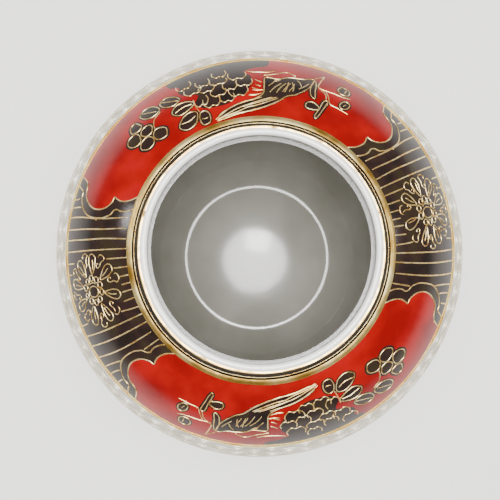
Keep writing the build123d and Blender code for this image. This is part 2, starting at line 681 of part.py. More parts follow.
# ---- dark ground round each roundel ----
for side, turn in (("right", 0.0), ("left", 180.0)):
    face_plane = tangent_plane(turn, ROUNDEL_LEAN)
    stripes = []
    for hand in (1, -1):
        stripes.extend(mirrored(LONG_STRIPES, turn, hand))
        for top, bottom in SHORT_STRIPE_AZIMUTHS[: None if hand == 1 else -1]:
            upper = [(top, COLLAR_LEANS[0]), (top, edge_lean(top, -1))]
            lower = [(bottom, edge_lean(bottom, 1)), (bottom, BELLY_RING_LEANS[1])]
            stripes.extend(mirrored([upper, lower], turn, hand))
    stripe_lines = line_drawing([drawn_on(face_plane, stripe) for stripe in stripes], [])
    roundel_lines = roundel_drawing()
    with BuildSketch() as roundel_disc:
        with BuildLine():
            for petal in range(PETAL_COUNT):
                start, middle, end = ((petal + part) * PETAL_STEP for part in (0, 0.5, 1))
                ThreePointArc(
                    polar(LOBE_CUSP, start), polar(ROUNDEL_RADIUS, middle), polar(LOBE_CUSP, end)
                )
        make_face()
    roundel_cells = combined(roundel_disc.sketch, roundel_lines, mode=Mode.SUBTRACT)
    ground_cuts = combined(roundel_disc.sketch, roundel_lines, stripe_lines)

    clear_stripes = combined(
        stripe_lines, roundel_disc.sketch, roundel_lines, mode=Mode.SUBTRACT
    )
    panel_cuts = [(ENDS[turn, hand]["plane"], ENDS[turn, hand]["panel_side"]) for hand in (1, -1)]
    with BuildPart() as stripe_wires:
        add(carried(face_plane, clear_stripes, wire_layer))
        for plane, cut in panel_cuts:
            with BuildSketch(plane):
                add(cut)
            extrude(amount=REACH, both=True, mode=Mode.SUBTRACT)
    keep(stripe_wires, f"{side}_stripe_wires")

    with BuildPart() as roundel_wires:
        add(carried(face_plane, roundel_lines, wire_layer))
    keep(roundel_wires, f"{side}_roundel_wires")

    with BuildPart() as roundel_enamel:
        add(carried(face_plane, roundel_cells, enamel_layer))
    keep(roundel_enamel, f"{side}_roundel_enamel")

    cuts = [(face_plane, ground_cuts), *panel_cuts]
    with BuildPart() as ground_enamel:
        blank_turn = turn - GROUND_SPAN
        add(shoulder_layer(ENAMEL_SINK, CASING_TOP, *FIELD_LEANS, blank_turn, 2 * GROUND_SPAN))
        for plane, cut in cuts:
            with BuildSketch(plane):
                add(cut)
            extrude(amount=REACH, both=True, mode=Mode.SUBTRACT)
    keep(ground_enamel, f"{side}_ground_enamel")

# ---- red panels with their pictures ----
for side, turn, drop, ends in (
    ("back", 0.0, 0.0, ((0.0, 1), (180.0, -1))),
    ("front", FRONT_TURN, FRONT_DROP, ((180.0, 1), (0.0, -1))),
):
    for outline in ("inner", "outer"):
        with BuildPart() as outline_wires:
            for end in ends:
                add(carried(ENDS[end]["plane"], ENDS[end][outline], wire_layer))
        keep(outline_wires, f"{side}_{outline}_outline")

    with BuildPart() as border_enamel:
        for end in ends:
            add(carried(ENDS[end]["plane"], ENDS[end]["band"], enamel_layer))
    keep(border_enamel, f"{side}_border_enamel")

    cuts = [(ENDS[end]["plane"], ENDS[end]["ground_side"]) for end in ends]
    for motif in MOTIFS:
        azimuth, lean = motif["centre"]
        plane = tangent_plane(azimuth + turn, lean + drop)
        wires, cells, grounds = (
            [drawn_on(plane, route, turn, drop) for route in motif[kind]]
            for kind in ("wires", "cells", "grounds")
        )
        strokes = [stroke for wire in wires for stroke in straight_strokes(wire)]
        lines = line_drawing(strokes, cells)
        filled = filled_drawing([*cells, *grounds])
        cuts.append((plane, combined(filled, lines)))

        with BuildPart() as motif_wires:
            add(carried(plane, lines, wire_layer))
        keep(motif_wires, f"{side}_{motif['name']}_wires")

        with BuildPart() as motif_enamel:
            add(carried(plane, combined(filled, lines, mode=Mode.SUBTRACT), enamel_layer))
        keep(motif_enamel, f"{side}_{motif['name']}_enamel")

    with BuildPart() as red_enamel:
        blank_turn = ends[0][0] + QUARTER_TURN - PANEL_SPAN
        add(shoulder_layer(ENAMEL_SINK, CASING_TOP, *FIELD_LEANS, blank_turn, 2 * PANEL_SPAN))
        for plane, cut in cuts:
            with BuildSketch(plane):
                add(cut)
            extrude(amount=REACH, both=True, mode=Mode.SUBTRACT)
    keep(red_enamel, f"{side}_red_enamel")
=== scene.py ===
from math import cos, pi, radians, sin

import bmesh
import bpy
import numpy as np
from mathutils import Matrix, Vector
from mathutils.geometry import delaunay_2d_cdt


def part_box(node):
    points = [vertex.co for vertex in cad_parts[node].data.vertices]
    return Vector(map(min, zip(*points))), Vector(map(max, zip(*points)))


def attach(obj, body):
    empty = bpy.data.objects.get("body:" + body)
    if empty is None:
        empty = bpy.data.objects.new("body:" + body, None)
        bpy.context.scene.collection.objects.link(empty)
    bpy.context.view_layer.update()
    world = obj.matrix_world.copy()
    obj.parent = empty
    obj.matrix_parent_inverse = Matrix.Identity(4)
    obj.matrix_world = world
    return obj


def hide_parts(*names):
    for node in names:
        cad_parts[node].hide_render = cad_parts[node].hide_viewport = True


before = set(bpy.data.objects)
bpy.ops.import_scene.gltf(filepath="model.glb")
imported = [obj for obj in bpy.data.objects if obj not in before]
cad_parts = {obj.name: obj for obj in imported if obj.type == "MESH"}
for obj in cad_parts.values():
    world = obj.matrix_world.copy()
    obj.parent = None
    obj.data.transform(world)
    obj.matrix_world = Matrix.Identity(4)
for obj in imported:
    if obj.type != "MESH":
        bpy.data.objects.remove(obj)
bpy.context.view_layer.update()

MM = 0.001

# ---- sizes in mm, from the frame and the vase's own outline ----
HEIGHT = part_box("porcelain_body")[1][2] / MM
WIDEST_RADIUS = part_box("belly_enamel")[1][0] / MM
FOOT_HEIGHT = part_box("foot_band")[1][2] / MM
SHOULDER_ARC = 47.0
BELLY_ARC = 132.0
NECK_HEIGHT = 8.4
SHOULDER_LEAN = 22.0  # lean: angle of the outline's outward normal from +Z, in degrees
WIDEST_LEAN = 90.0
COLLAR_LEANS = (22.6, 24.6)
RING_LEANS = (56.6, 58.0)
WIDEST_Z = HEIGHT - NECK_HEIGHT - SHOULDER_ARC * cos(radians(SHOULDER_LEAN))
SHOULDER_CENTRE = WIDEST_RADIUS - SHOULDER_ARC
BELLY_CENTRE = WIDEST_RADIUS - BELLY_ARC
ENAMEL_DEPTH = 0.2  # enamel's face under the wires' tops
ENAMEL_THICKNESS = 0.35
CASING_DEPTH = 0.62
PORCELAIN_DEPTH = 1.22
BODY_WALL = 3.2
MOUTH_RADIUS = 29.5
NECK_WALL = 1.9
FOOT_RECESS = 3.5
FLOOR_Z = 8.5
WIRE_WIDTH = 0.52
ARC_PER_DEGREE = SHOULDER_ARC * pi / 180
FRONT_TURN = 183.5  # the front picture stands this far round from the back one
FRONT_DROP = 3.0  # and this much further down the shoulder
MOTIF_LINE = 0.42  # the pictures' lines are finer than the borders'
ROUNDEL_LINE = 0.44
SLEEVE_BELOW_LIP = 1.1
SLEEVE_THICKNESS = 0.5
BAND_RISE = 0.3  # the black band stands this far above the shoulder's upper edge
BAND_WIDTH = 3.6
BAND_SUNK = 0.03  # the black glass lies this far under the sleeve's face


# ---- the vase's skin ----
def skin(azimuth, lean, depth=0.0):
    """Points on the outside: an arc of the shoulder's radius above the widest level and of the
    belly's below it, both less the depth, at radius centre + arc sin(lean), height arc cos(lean)."""
    turn, tilt = np.radians(azimuth), np.radians(lean)
    on_belly = np.asarray(lean) > WIDEST_LEAN
    arc = np.where(on_belly, BELLY_ARC, SHOULDER_ARC) - depth
    r = np.where(on_belly, BELLY_CENTRE, SHOULDER_CENTRE) + arc * np.sin(tilt)
    z = WIDEST_Z + arc * np.cos(tilt)
    return np.stack([r * np.cos(turn), r * np.sin(turn), z + 0 * turn], axis=-1)


def outward(azimuth, lean):
    """The outside's unit normal: lean from +Z, turned to the azimuth."""
    turn, tilt = np.radians(azimuth), np.radians(lean)
    up = np.cos(tilt) + 0 * turn
    return np.stack([np.sin(tilt) * np.cos(turn), np.sin(tilt) * np.sin(turn), up], axis=-1)


def from_plane(centre, drawing):
    """Routes drawn in mm on the plane that touches the shoulder at a centre, carried square to
    that plane on to the shoulder by Newton steps, as (azimuth, lean)."""
    azimuth, lean = centre
    east = np.array([-sin(radians(azimuth)), cos(radians(azimuth)), 0])
    normal = outward(azimuth, lean)
    points = skin(azimuth, lean) + np.outer(drawing[:, 0], east)
    points = points + np.outer(drawing[:, 1], np.cross(normal, east))
    for _ in range(6):
        r = np.hypot(points[:, 0], points[:, 1])
        across, rise = r - SHOULDER_CENTRE, points[:, 2] - WIDEST_Z
        reach = np.hypot(across, rise)
        slope = (across * (points[:, :2] @ normal[:2]) / r + rise * normal[2]) / reach
        points = points - np.outer((reach - SHOULDER_ARC) / slope, normal)
    r = np.hypot(points[:, 0], points[:, 1])
    turn = np.degrees(np.arctan2(points[:, 1], points[:, 0]))
    turn = azimuth + (turn - azimuth + 180) % 360 - 180
    return np.stack([turn, np.degrees(np.arctan2(r - SHOULDER_CENTRE, points[:, 2] - WIDEST_Z))], -1)


def flowing(route, closed=False, spacing=0.35):
    """A smooth curve through a route's points: on each span a cubic whose end slopes come from
    the neighbouring chords, each counted by its length, sampled evenly in mm."""
    knots = np.array(route, float)
    scale = np.array([radians(1) * skin(0, knots[:, 1].mean())[0], ARC_PER_DEGREE])
    knots = knots * scale
    if closed:
        knots = np.vstack([knots[-1], knots, knots[:2]])
    else:
        knots = np.vstack([2 * knots[0] - knots[1], knots, 2 * knots[-1] - knots[-2]])
    chord = np.sqrt(np.linalg.norm(np.diff(knots, axis=0), axis=1)) + 1e-6
    before, here, after = chord[:-2, None], chord[1:-1, None], chord[2:, None]
    step = knots[2:-1] - knots[1:-2]
    leave = here * ((knots[1:-2] - knots[:-3]) / before - (knots[2:-1] - knots[:-3]) / (before + here)) + step
    arrive = here * ((knots[3:] - knots[2:-1]) / after - (knots[3:] - knots[1:-2]) / (here + after)) + step
    t = np.linspace(0, 1, 25)[:-1, None, None]
    curve = (
        (2 * t**3 - 3 * t**2 + 1) * knots[1:-2]
        + (t**3 - 2 * t**2 + t) * leave
        + (3 * t**2 - 2 * t**3) * knots[2:-1]
        + (t**3 - t**2) * arrive
    )
    curve = np.vstack([curve.transpose(1, 0, 2).reshape(-1, 2), knots[-2]])
    run = np.concatenate([[0], np.cumsum(np.linalg.norm(np.diff(curve, axis=0), axis=1))])
    count = max(4, int(run[-1] / spacing) + 1)
    evenly = np.linspace(0, run[-1], count)
    curve = np.stack([np.interp(evenly, run, curve[:, axis]) for axis in (0, 1)], -1) / scale
    return curve[:-1] if closed else curve


# ---- meshes ----
def mesh_piece(name, corners, faces, material, stands_for=(), crease=None):
    """A named piece from corners in mm and faces, which rides on the vase's one body."""
    mesh = bpy.data.meshes.new(name)
    mesh.from_pydata((np.asarray(corners) * MM).tolist(), [], [tuple(face) for face in faces])
    mesh.polygons.foreach_set("use_smooth", np.ones(len(mesh.polygons), bool))
    if crease is not None:
        mesh.set_sharp_from_angle(angle=radians(crease))
    mesh.materials.append(material)
    mesh.update()
    piece = bpy.data.objects.new(name, mesh)
    bpy.context.scene.collection.objects.link(piece)
    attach(piece, "root")
    if stands_for:
        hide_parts(*stands_for)
    return piece


def tube_faces(rings, sides, closed):
    """Quads between neighbouring rings of a tube, with a cap face on each open end."""
    ring = np.arange(rings if closed else rings - 1)[:, None] * sides
    side = np.arange(sides)[None, :]
    beside = (side + 1) % sides
    onward = (ring + sides) % (rings * sides)
    quads = np.stack([ring + side, ring + beside, onward + beside, onward + side], -1).reshape(-1, 4)
    faces = quads.tolist()
    if not closed:
        faces.append(list(range(sides))[::-1])
        faces.append(list(range((rings - 1) * sides, rings * sides)))
    return faces


WIDTH_DRIFT = 0.16  # share of a line's width
TOP_DRIFT = 0.05  # mm


def bar(line, draw, closed, width, sides=9):
    """A raised line: a half-round profile carried along a route on the skin. Its width drifts by
    up to a sixth, its top sinks by up to a tenth of a millimetre, and its free ends taper."""
    count = len(line)
    place = skin(line[:, 0], line[:, 1])
    normal = outward(line[:, 0], line[:, 1])
    ahead = np.roll(place, -1, axis=0) - np.roll(place, 1, axis=0)
    if not closed:
        ahead[0], ahead[-1] = place[1] - place[0], place[-1] - place[-2]
    ahead = ahead / np.linalg.norm(ahead, axis=1)[:, None]
    across = np.cross(normal, ahead)
    phase, pace = draw.uniform(0, 2 * pi, 3), draw.uniform(1, 3, 3).round()
    along = np.linspace(0, 2 * pi, count, endpoint=not closed)
    drift = sum(np.sin(pace[i] * along * (i + 1) + phase[i]) for i in range(3)) / 3
    half = width / 2 * (1 + WIDTH_DRIFT * drift)
    height = CASING_DEPTH - TOP_DRIFT * (1 + drift)
    if not closed:
        edge = np.minimum(np.arange(count), np.arange(count)[::-1])
        taper = np.interp(edge, [0, 1, 2], [0.35, 0.85, 1.0])
        half = half * taper
        height = height * np.interp(edge, [0, 1, 2], [0.72, 0.94, 1.0])
    swing = np.linspace(0, pi, sides)
    sideways = np.cos(swing)
    rise = np.sin(swing) ** 0.8
    ring = place[:, None, :] + across[:, None, :] * (half[:, None] * sideways)[:, :, None]
    sink = CASING_DEPTH - height[:, None] * rise
    ring = ring - normal[:, None, :] * sink[:, :, None]
    return ring.reshape(-1, 3), tube_faces(count, sides, closed)


def wires(name, routes, stands_for, seed, width=WIRE_WIDTH):
    """All the raised lines of one motif. A route is (points, closed) in (azimuth, lean)."""
    draw = np.random.default_rng(seed)
    corners, faces, start = [], [], 0
    for points, closed in routes:
        line = flowing(points, closed)
        rings, quads = bar(line, draw, closed, width)
        corners.append(rings)
        faces.extend([[corner + start for corner in quad] for quad in quads])
        start += len(rings)
    return mesh_piece(name, np.vstack(corners), faces, BRASS_WIRE, stands_for)


def turned(name, outline, material, stands_for=(), around=360, waver=None, crease=38.0):
    """A figure of revolution: a closed outline of (radius, height) points carried round the
    axis. waver(turn) may shift each meridian's outline by (radius, height) arrays."""
    outline = np.array(outline, float)
    turn = np.linspace(0, 2 * pi, around, endpoint=False)
    r = np.repeat(outline[None, :, 0], around, axis=0)
    z = np.repeat(outline[None, :, 1], around, axis=0)
    if waver is not None:
        out, up = waver(turn[:, None], r, z)
        r, z = r + out, z + up
    ring = np.stack([r * np.cos(turn)[:, None], r * np.sin(turn)[:, None], z], -1)
    sides = len(outline)
    faces = tube_faces(around, sides, True)
    return mesh_piece(name, ring.reshape(-1, 3), faces, material, stands_for, crease)


def close_poles(piece):
    """Joins the points of a turned piece that meet on its axis, and drops what collapses."""
    shape = bmesh.new()
    shape.from_mesh(piece.data)
    bmesh.ops.remove_doubles(shape, verts=shape.verts, dist=0.0005 * MM)
    loose = [edge for edge in shape.edges if not edge.link_faces]
    bmesh.ops.delete(shape, geom=loose, context="EDGES")
    shape.to_mesh(piece.data)
    shape.free()


def inside(points, loop):
    """Which points lie in a closed loop, by counting the loop's edges to one side of each."""
    x, y = points[:, 0, None], points[:, 1, None]
    ax, ay = loop[:, 0], loop[:, 1]
    bx, by = np.roll(ax, -1), np.roll(ay, -1)
    spans = (ay > y) != (by > y)
    rise = np.where(by == ay, 1e-12, by - ay)
    return ((spans & (x < (bx - ax) * (y - ay) / rise + ax)).sum(axis=1) % 2) == 1


def enamel_sheet(boundary, loops, spacing=0.75):
    """One triangulated sheet over a boundary in (azimuth, lean), whose edges keep to the
    boundary and to every loop inside it, and the loop that each triangle lies in, or -1."""
    scale = np.array([radians(1) * skin(0, boundary[:, 1].mean())[0], ARC_PER_DEGREE])
    low, high = boundary.min(axis=0), boundary.max(axis=0)
    pitch = spacing / scale
    columns, rows = (np.arange(low[axis], high[axis], pitch[axis]) for axis in (0, 1))
    grid = np.stack(np.meshgrid(columns, rows), -1)
    grid[1::2, :, 0] += pitch[0] / 2
    grid = grid.reshape(-1, 2)
    outlines = [boundary, *loops]
    edge_points = np.vstack(outlines)
    grid = grid[inside(grid, boundary)]
    keep = np.ones(len(grid), bool)
    for block in np.array_split(np.arange(len(edge_points)), 1 + len(edge_points) // 400):
        gap = ((grid[:, None, :] - edge_points[None, block]) * scale) ** 2
        keep &= gap.sum(-1).min(axis=1) > (0.45 * spacing) ** 2
    points = np.vstack([edge_points, grid[keep]]) * scale
    edges, start = [], 0
    for outline in outlines:
        ids = np.arange(len(outline)) + start
        edges.extend(zip(ids.tolist(), np.roll(ids, -1).tolist()))
        start += len(outline)
    result = delaunay_2d_cdt([Vector(point) for point in points.tolist()], edges, [], 0, 1e-5)
    corners = np.array([tuple(corner) for corner in result[0]]) / scale
    faces = np.array([face for face in result[2] if len(face) == 3])
    middle = corners[faces].mean(axis=1)
    faces = faces[inside(middle, boundary)]
    middle = corners[faces].mean(axis=1)
    owner = np.full(len(faces), -1)
    for index, loop in enumerate(loops):
        owner[inside(middle, loop)] = index
    return corners, faces, owner


def slab(name, corners, faces, material, stands_for):
    """A closed slab of enamel: a sheet's faces at the enamel's depth, again under it and turned
    over, and a rim of quads along every edge that only one face has."""
    used, faces = np.unique(faces, return_inverse=True)
    faces = faces.reshape(-1, 3)
    corners = corners[used]
    top = skin(corners[:, 0], corners[:, 1], ENAMEL_DEPTH)
    under = skin(corners[:, 0], corners[:, 1], ENAMEL_DEPTH + ENAMEL_THICKNESS)
    facing = np.einsum(
        "ij,ij->i",
        np.cross(top[faces[:, 1]] - top[faces[:, 0]], top[faces[:, 2]] - top[faces[:, 0]]),
        top[faces[:, 0]] * [1, 1, 0] + [0, 0, 30],
    )
    faces[facing < 0] = faces[facing < 0][:, ::-1]
    edges = np.vstack([faces[:, [0, 1]], faces[:, [1, 2]], faces[:, [2, 0]]])
    keys = edges.min(axis=1) * len(top) + edges.max(axis=1)
    _, first, times = np.unique(keys, return_index=True, return_counts=True)
    rim = edges[first[times == 1]]
    low = len(top)
    rim_quads = np.stack([rim[:, 1], rim[:, 0], rim[:, 0] + low, rim[:, 1] + low], -1)
    all_faces = faces.tolist() + (faces[:, ::-1] + low).tolist() + rim_quads.tolist()
    return mesh_piece(name, np.vstack([top, under]), all_faces, material, stands_for, 55.0)


# ---- finishes ----
def linear(colour):
    """An sRGB hex colour as linear red, green, blue and full alpha."""
    parts = [int(colour[i:i + 2], 16) / 255 for i in (1, 3, 5)]
    return (*[c / 12.92 if c <= 0.04045 else ((c + 0.055) / 1.055) ** 2.4 for c in parts], 1.0)


def add(tree, kind, inputs=(), **settings):
    """Adds a node: settings are its own properties, inputs its sockets' values or links."""
    made = tree.nodes.new(kind)
    for key, value in settings.items():
        setattr(made, key, value)
    for key, value in dict(inputs).items():
        if isinstance(value, bpy.types.NodeSocket):
            tree.links.new(value, made.inputs[key])
        else:
            made.inputs[key].default_value = value
    return made


def finish(name, shader, colours, blotch_mm, relief_mm=0.0, relief_height=0.0, rough_spread=0.0):
    """A Principled finish: two or three colours drift into each other over blotches of a real
    size, roughness drifts with them, and a fine relief of a real size and height bumps it."""
    made = bpy.data.materials.new(name)
    made.use_nodes = True
    tree = made.node_tree
    tree.nodes.clear()
    place = add(tree, "ShaderNodeTexCoord").outputs["Object"]
    blotch = add(tree, "ShaderNodeTexNoise", {"Vector": place, "Scale": 1 / (blotch_mm * MM), "Detail": 3.0})
    ramp = add(tree, "ShaderNodeValToRGB", {"Fac": blotch.outputs["Fac"]})
    stops = np.linspace(0.36, 0.64, len(colours))
    ramp.color_ramp.elements[0].position = stops[0]
    ramp.color_ramp.elements[1].position = stops[-1]
    for stop in stops[1:-1]:
        ramp.color_ramp.elements.new(stop)
    for element, colour in zip(ramp.color_ramp.elements, colours):
        element.color = linear(colour)
    inputs = dict(shader)
    inputs["Base Color"] = ramp.outputs["Color"]
    if rough_spread:
        rough = add(
            tree,
            "ShaderNodeMapRange",
            {
                "Value": blotch.outputs["Fac"],
                "From Min": 0.3,
                "From Max": 0.7,
                "To Min": max(0.02, shader["Roughness"] - rough_spread),
                "To Max": shader["Roughness"] + rough_spread,
            },
        )
        inputs["Roughness"] = rough.outputs["Result"]
    if relief_height:
        grain = add(
            tree,
            "ShaderNodeTexNoise",
            {"Vector": place, "Scale": 1 / (relief_mm * MM), "Detail": 2.0},
        )
        bump = add(
            tree,
            "ShaderNodeBump",
            {"Height": grain.outputs["Fac"], "Distance": relief_height * MM, "Strength": 1.0},
        )
        inputs["Normal"] = bump.outputs["Normal"]
    surface = add(tree, "ShaderNodeBsdfPrincipled", inputs)
    add(tree, "ShaderNodeOutputMaterial", {"Surface": surface.outputs["BSDF"]})
    return made


# White porcelain under a clear glaze: hard bright highlights, a slightly uneven glaze.
GLAZED_PORCELAIN = finish(
    "glazed white porcelain",
    {"Roughness": 0.09, "IOR": 1.5, "Coat Weight": 0.4, "Coat Roughness": 0.04},
    ("#EFEEEA", "#F8F7F4"),
    blotch_mm=30,
    relief_mm=9,
    relief_height=0.02,
)
# The glaze inside the jar: its grey is painted shade on the white glaze, a touch softer in its reflections
# than the lip.
INNER_GLAZE_PAINTED_SHADE = finish(
    "white glaze painted grey as shade",
    {"Roughness": 0.12, "IOR": 1.5, "Coat Weight": 0.3, "Coat Roughness": 0.05},
    ("#8E8B80", "#9F9C92"),
    blotch_mm=24,
    relief_mm=8,
    relief_height=0.02,
)
# Thin rolled brass, hand-trimmed and lightly worn: soft reflections with darker patches.
ROLLED_BRASS = finish(
    "rolled sheet brass",
    {"Metallic": 1.0, "Roughness": 0.3},
    ("#B08A4E", "#D9B877", "#EBD198"),
    blotch_mm=5,
    relief_mm=0.9,
    relief_height=0.03,
    rough_spread=0.08,
)
# Drawn brass lines, ground level with the enamel and polished: pale, bright edges.
BRASS_WIRE = finish(
    "polished brass wire",
    {"Metallic": 1.0, "Roughness": 0.4},
    ("#D9AE62", "#EFD08A", "#FAE6AE"),
    blotch_mm=2.4,
    relief_mm=0.5,
    relief_height=0.03,
    rough_spread=0.07,
)
# Opaque red enamel, fired and glossy: deep colour under a sharp reflection. The IOR of the
# shoulder's glasses is set under real glass's 1.5, which keeps their reflections faint.
RED_ENAMEL = finish(
    "fired opaque red enamel",
    {"Roughness": 0.14, "IOR": 1.36},
    ("#760204", "#860406", "#940809"),
    blotch_mm=11,
    relief_mm=1.6,
    relief_height=0.012,
)
# Dark brown-black enamel with faint purple and olive tints, glossy like the red.
DARK_ENAMEL = finish(
    "fired dark brown enamel",
    {"Roughness": 0.17, "IOR": 1.38},
    ("#1B1411", "#261917", "#2A2217"),
    blotch_mm=6,
    relief_mm=1.2,
    relief_height=0.015,
)
# Black enamel of the neck band, the darkest of the glasses and the least glossy.
BLACK_ENAMEL = finish(
    "fired black enamel",
    {"Roughness": 0.4, "IOR": 1.25},
    ("#0A0908", "#12100D"),
    blotch_mm=5,
    relief_mm=1.0,
    relief_height=0.01,
)
# Brass of the wider rings, rubbed bright with darker, duller stretches.
RING_BRASS = finish(
    "burnished brass ring",
    {"Metallic": 1.0, "Roughness": 0.36},
    ("#D6A64A", "#F2CE78", "#FBE5A0"),
    blotch_mm=7,
    relief_mm=1.1,
    relief_height=0.05,
    rough_spread=0.08,
)
# Enamel of the belly, a paler glass than the shoulder's, glossy: its grey with a warm tint is painted shade
# under the belly.
BELLY_GLASS_PAINTED_SHADE = finish(
    "pale enamel painted grey as shade",
    {"Roughness": 0.17, "IOR": 1.55, "Coat Weight": 0.25, "Coat Roughness": 0.06},
    ("#8A867D", "#9A968D", "#A8A499"),
    blotch_mm=9,
    relief_mm=1.3,
    relief_height=0.015,
)
# Fine belly lines, half metal and half pale and matt, which gives an almost white line: the pale colour is
# painted reflection of the pale table in the brass.
PALE_WIRE_PAINTED_REFLECTION = finish(
    "brass line with painted reflection",
    {"Metallic": 0.55, "Roughness": 0.5},
    ("#D8CDB4", "#EBE3CF", "#F6F0E2"),
    blotch_mm=4,
    relief_mm=0.6,
    relief_height=0.02,
)


# ---- porcelain body ----
def run_of(lean_from, lean_to, depth, count):
    """The outline's (radius, height) points between two leans at a depth."""
    lean = np.linspace(lean_from, lean_to, count)
    return skin(np.zeros(count), lean, depth)[:, [0, 2]]


def lean_at_height(height, depth):
    """Lean where the belly, at a depth, stands at a height."""
    return 90 + np.degrees(np.arcsin((WIDEST_Z - height) / (BELLY_ARC - depth)))


def rounded(corner, before, after, radius, count=7):
    """A fillet: points from one side of a corner to the other, drawn towards it as the square
    of the way along, which is close to an arc for a shallow corner."""
    corner, before, after = (np.array(point, float) for point in (corner, before, after))
    start = corner + radius * (before - corner) / np.linalg.norm(before - corner)
    end = corner + radius * (after - corner) / np.linalg.norm(after - corner)
    t = np.linspace(0, 1, count)[:, None]
    return (1 - t) ** 2 * start + 2 * t * (1 - t) * corner + t**2 * end


INNER_DEPTH = PORCELAIN_DEPTH + BODY_WALL
NECK_OUTER = MOUTH_RADIUS + NECK_WALL
LIP = NECK_WALL / 2
NECK_FILLET = 2.0
FOOT_WIDTH = 5.0
FOOT_FILLET = 0.9
FLOOR_EDGE = 28.0  # the floor's faint dome ends at this radius
FLOOR_DOME = 0.9
FLOOR_CORNER = 30.0  # the floor turns up into the wall at this radius
FLOOR_FILLET = 1.5
FLOOR_TURN = 5.5  # and joins it this far above the floor
bore_lean = float(np.degrees(np.arcsin((MOUTH_RADIUS - SHOULDER_CENTRE) / (SHOULDER_ARC - INNER_DEPTH))))
neck_lean = float(np.degrees(np.arcsin((NECK_OUTER - SHOULDER_CENTRE) / (SHOULDER_ARC - PORCELAIN_DEPTH))))
foot_lean = lean_at_height(FOOT_HEIGHT, PORCELAIN_DEPTH)
floor_lean = lean_at_height(FLOOR_Z + FLOOR_TURN, INNER_DEPTH)
foot_outer = run_of(foot_lean, foot_lean, PORCELAIN_DEPTH, 1)[0]
floor_edge = run_of(floor_lean, floor_lean, INNER_DEPTH, 1)[0]
bore_root = run_of(bore_lean, bore_lean, INNER_DEPTH, 1)[0]
neck_root = run_of(neck_lean, neck_lean, PORCELAIN_DEPTH, 1)[0]
past_neck = run_of(neck_lean + 8, neck_lean + 8, PORCELAIN_DEPTH, 1)[0]
past_bore = run_of(bore_lean + 8, bore_lean + 8, INNER_DEPTH, 1)[0]
foot_r = foot_outer[0]
foot_inner = foot_r - FOOT_WIDTH
lip_turn = np.linspace(pi, 0, 15)
lip = np.stack([MOUTH_RADIUS + LIP + LIP * np.cos(lip_turn), HEIGHT - LIP + LIP * np.sin(lip_turn)], -1)
floor_r = np.linspace(0, FLOOR_EDGE, 12)
floor_dome = np.stack([floor_r, FLOOR_Z + FLOOR_DOME * np.cos(floor_r / FLOOR_EDGE * pi / 2) ** 2], -1)
outline = np.vstack([
    lip,
    rounded(neck_root, (NECK_OUTER, HEIGHT), past_neck, NECK_FILLET),
    run_of(neck_lean + 4, 90, PORCELAIN_DEPTH, 40),
    run_of(90.5, foot_lean, PORCELAIN_DEPTH, 40),
    rounded((foot_r, 0), foot_outer, (0, 0), FOOT_FILLET),
    rounded((foot_inner, 0), (foot_r, 0), (foot_inner, FOOT_RECESS), FOOT_FILLET),
    rounded((foot_inner, FOOT_RECESS), (foot_inner, 0), (0, FOOT_RECESS), FOOT_FILLET),
    [(0, FOOT_RECESS)],
    floor_dome,
    rounded((FLOOR_CORNER, FLOOR_Z), (0, FLOOR_Z), floor_edge, FLOOR_FILLET),
    run_of(floor_lean, 90.5, INNER_DEPTH, 40),
    run_of(90, bore_lean + 4, INNER_DEPTH, 40),
    rounded(bore_root, past_bore, (MOUTH_RADIUS, HEIGHT), NECK_FILLET),
])


def thrown(turn, r, z):
    """The hand's faint unevenness: a few hundredths of a millimetre out of round."""
    return 0.05 * np.sin(3 * turn + 0.7) * np.minimum(1, r / 20), 0 * z


porcelain = turned(
    "porcelain_jar",
    outline,
    GLAZED_PORCELAIN,
    ["porcelain_body"],
    300,
    thrown,
    60,
)
close_poles(porcelain)

# The faces that look inwards, and the floor, take the inner glaze, whose grey is painted shade inside the
# jar.
PAINTED_SHADE_BELOW_LIP = 1.6
FLOOR_REACH = (MOUTH_RADIUS + 8, 20)  # the floor's faces lie within this radius and height
porcelain.data.materials.append(INNER_GLAZE_PAINTED_SHADE)
for face in porcelain.data.polygons:
    centre = face.center / MM
    inwards = -face.normal.xy.dot(centre.xy) / max(centre.xy.length, 1.0)
    on_floor = face.normal.z > 0.3 and centre.xy.length < FLOOR_REACH[0] and centre.z < FLOOR_REACH[1]
    if FLOOR_Z - 1 < centre.z < HEIGHT - PAINTED_SHADE_BELOW_LIP and (inwards > 0.05 or on_floor):
        face.material_index = 1

# ---- neck: sleeve, bead and black band ----
SLEEVE_TOP = HEIGHT - SLEEVE_BELOW_LIP
edge_r, edge_z = run_of(SHOULDER_LEAN, SHOULDER_LEAN, 0, 1)[0]
sleeve_r = NECK_OUTER + SLEEVE_THICKNESS
flare_drop, flare_out = SLEEVE_TOP - edge_z, edge_r - sleeve_r
FLARE = (flare_drop**2 + flare_out**2) / (2 * flare_out)
BAND_LOW = edge_z + BAND_RISE
BAND_HIGH = BAND_LOW + BAND_WIDTH


def neck_line(heights, depth=0.0):
    """The neck's hollow flare: an arc that stands upright at the sleeve's upper edge."""
    drop = np.minimum(SLEEVE_TOP - np.asarray(heights), FLARE)
    return np.stack([sleeve_r + FLARE - np.sqrt(FLARE**2 - drop**2) - depth, heights], -1)


def trimmed(turn, r, z):
    """The sleeve's upper edge, cut by hand: short uneven waves that fade out below it."""
    near_edge = np.clip((z - SLEEVE_TOP + 1.2) / 1.2, 0, 1)
    wave = 0.16 * np.sin(9 * turn + 1.0) + 0.12 * np.sin(23 * turn + 2.2) + 0.08 * np.sin(41 * turn)
    return 0.05 * np.sin(17 * turn) * near_edge, (wave - 0.2) * near_edge


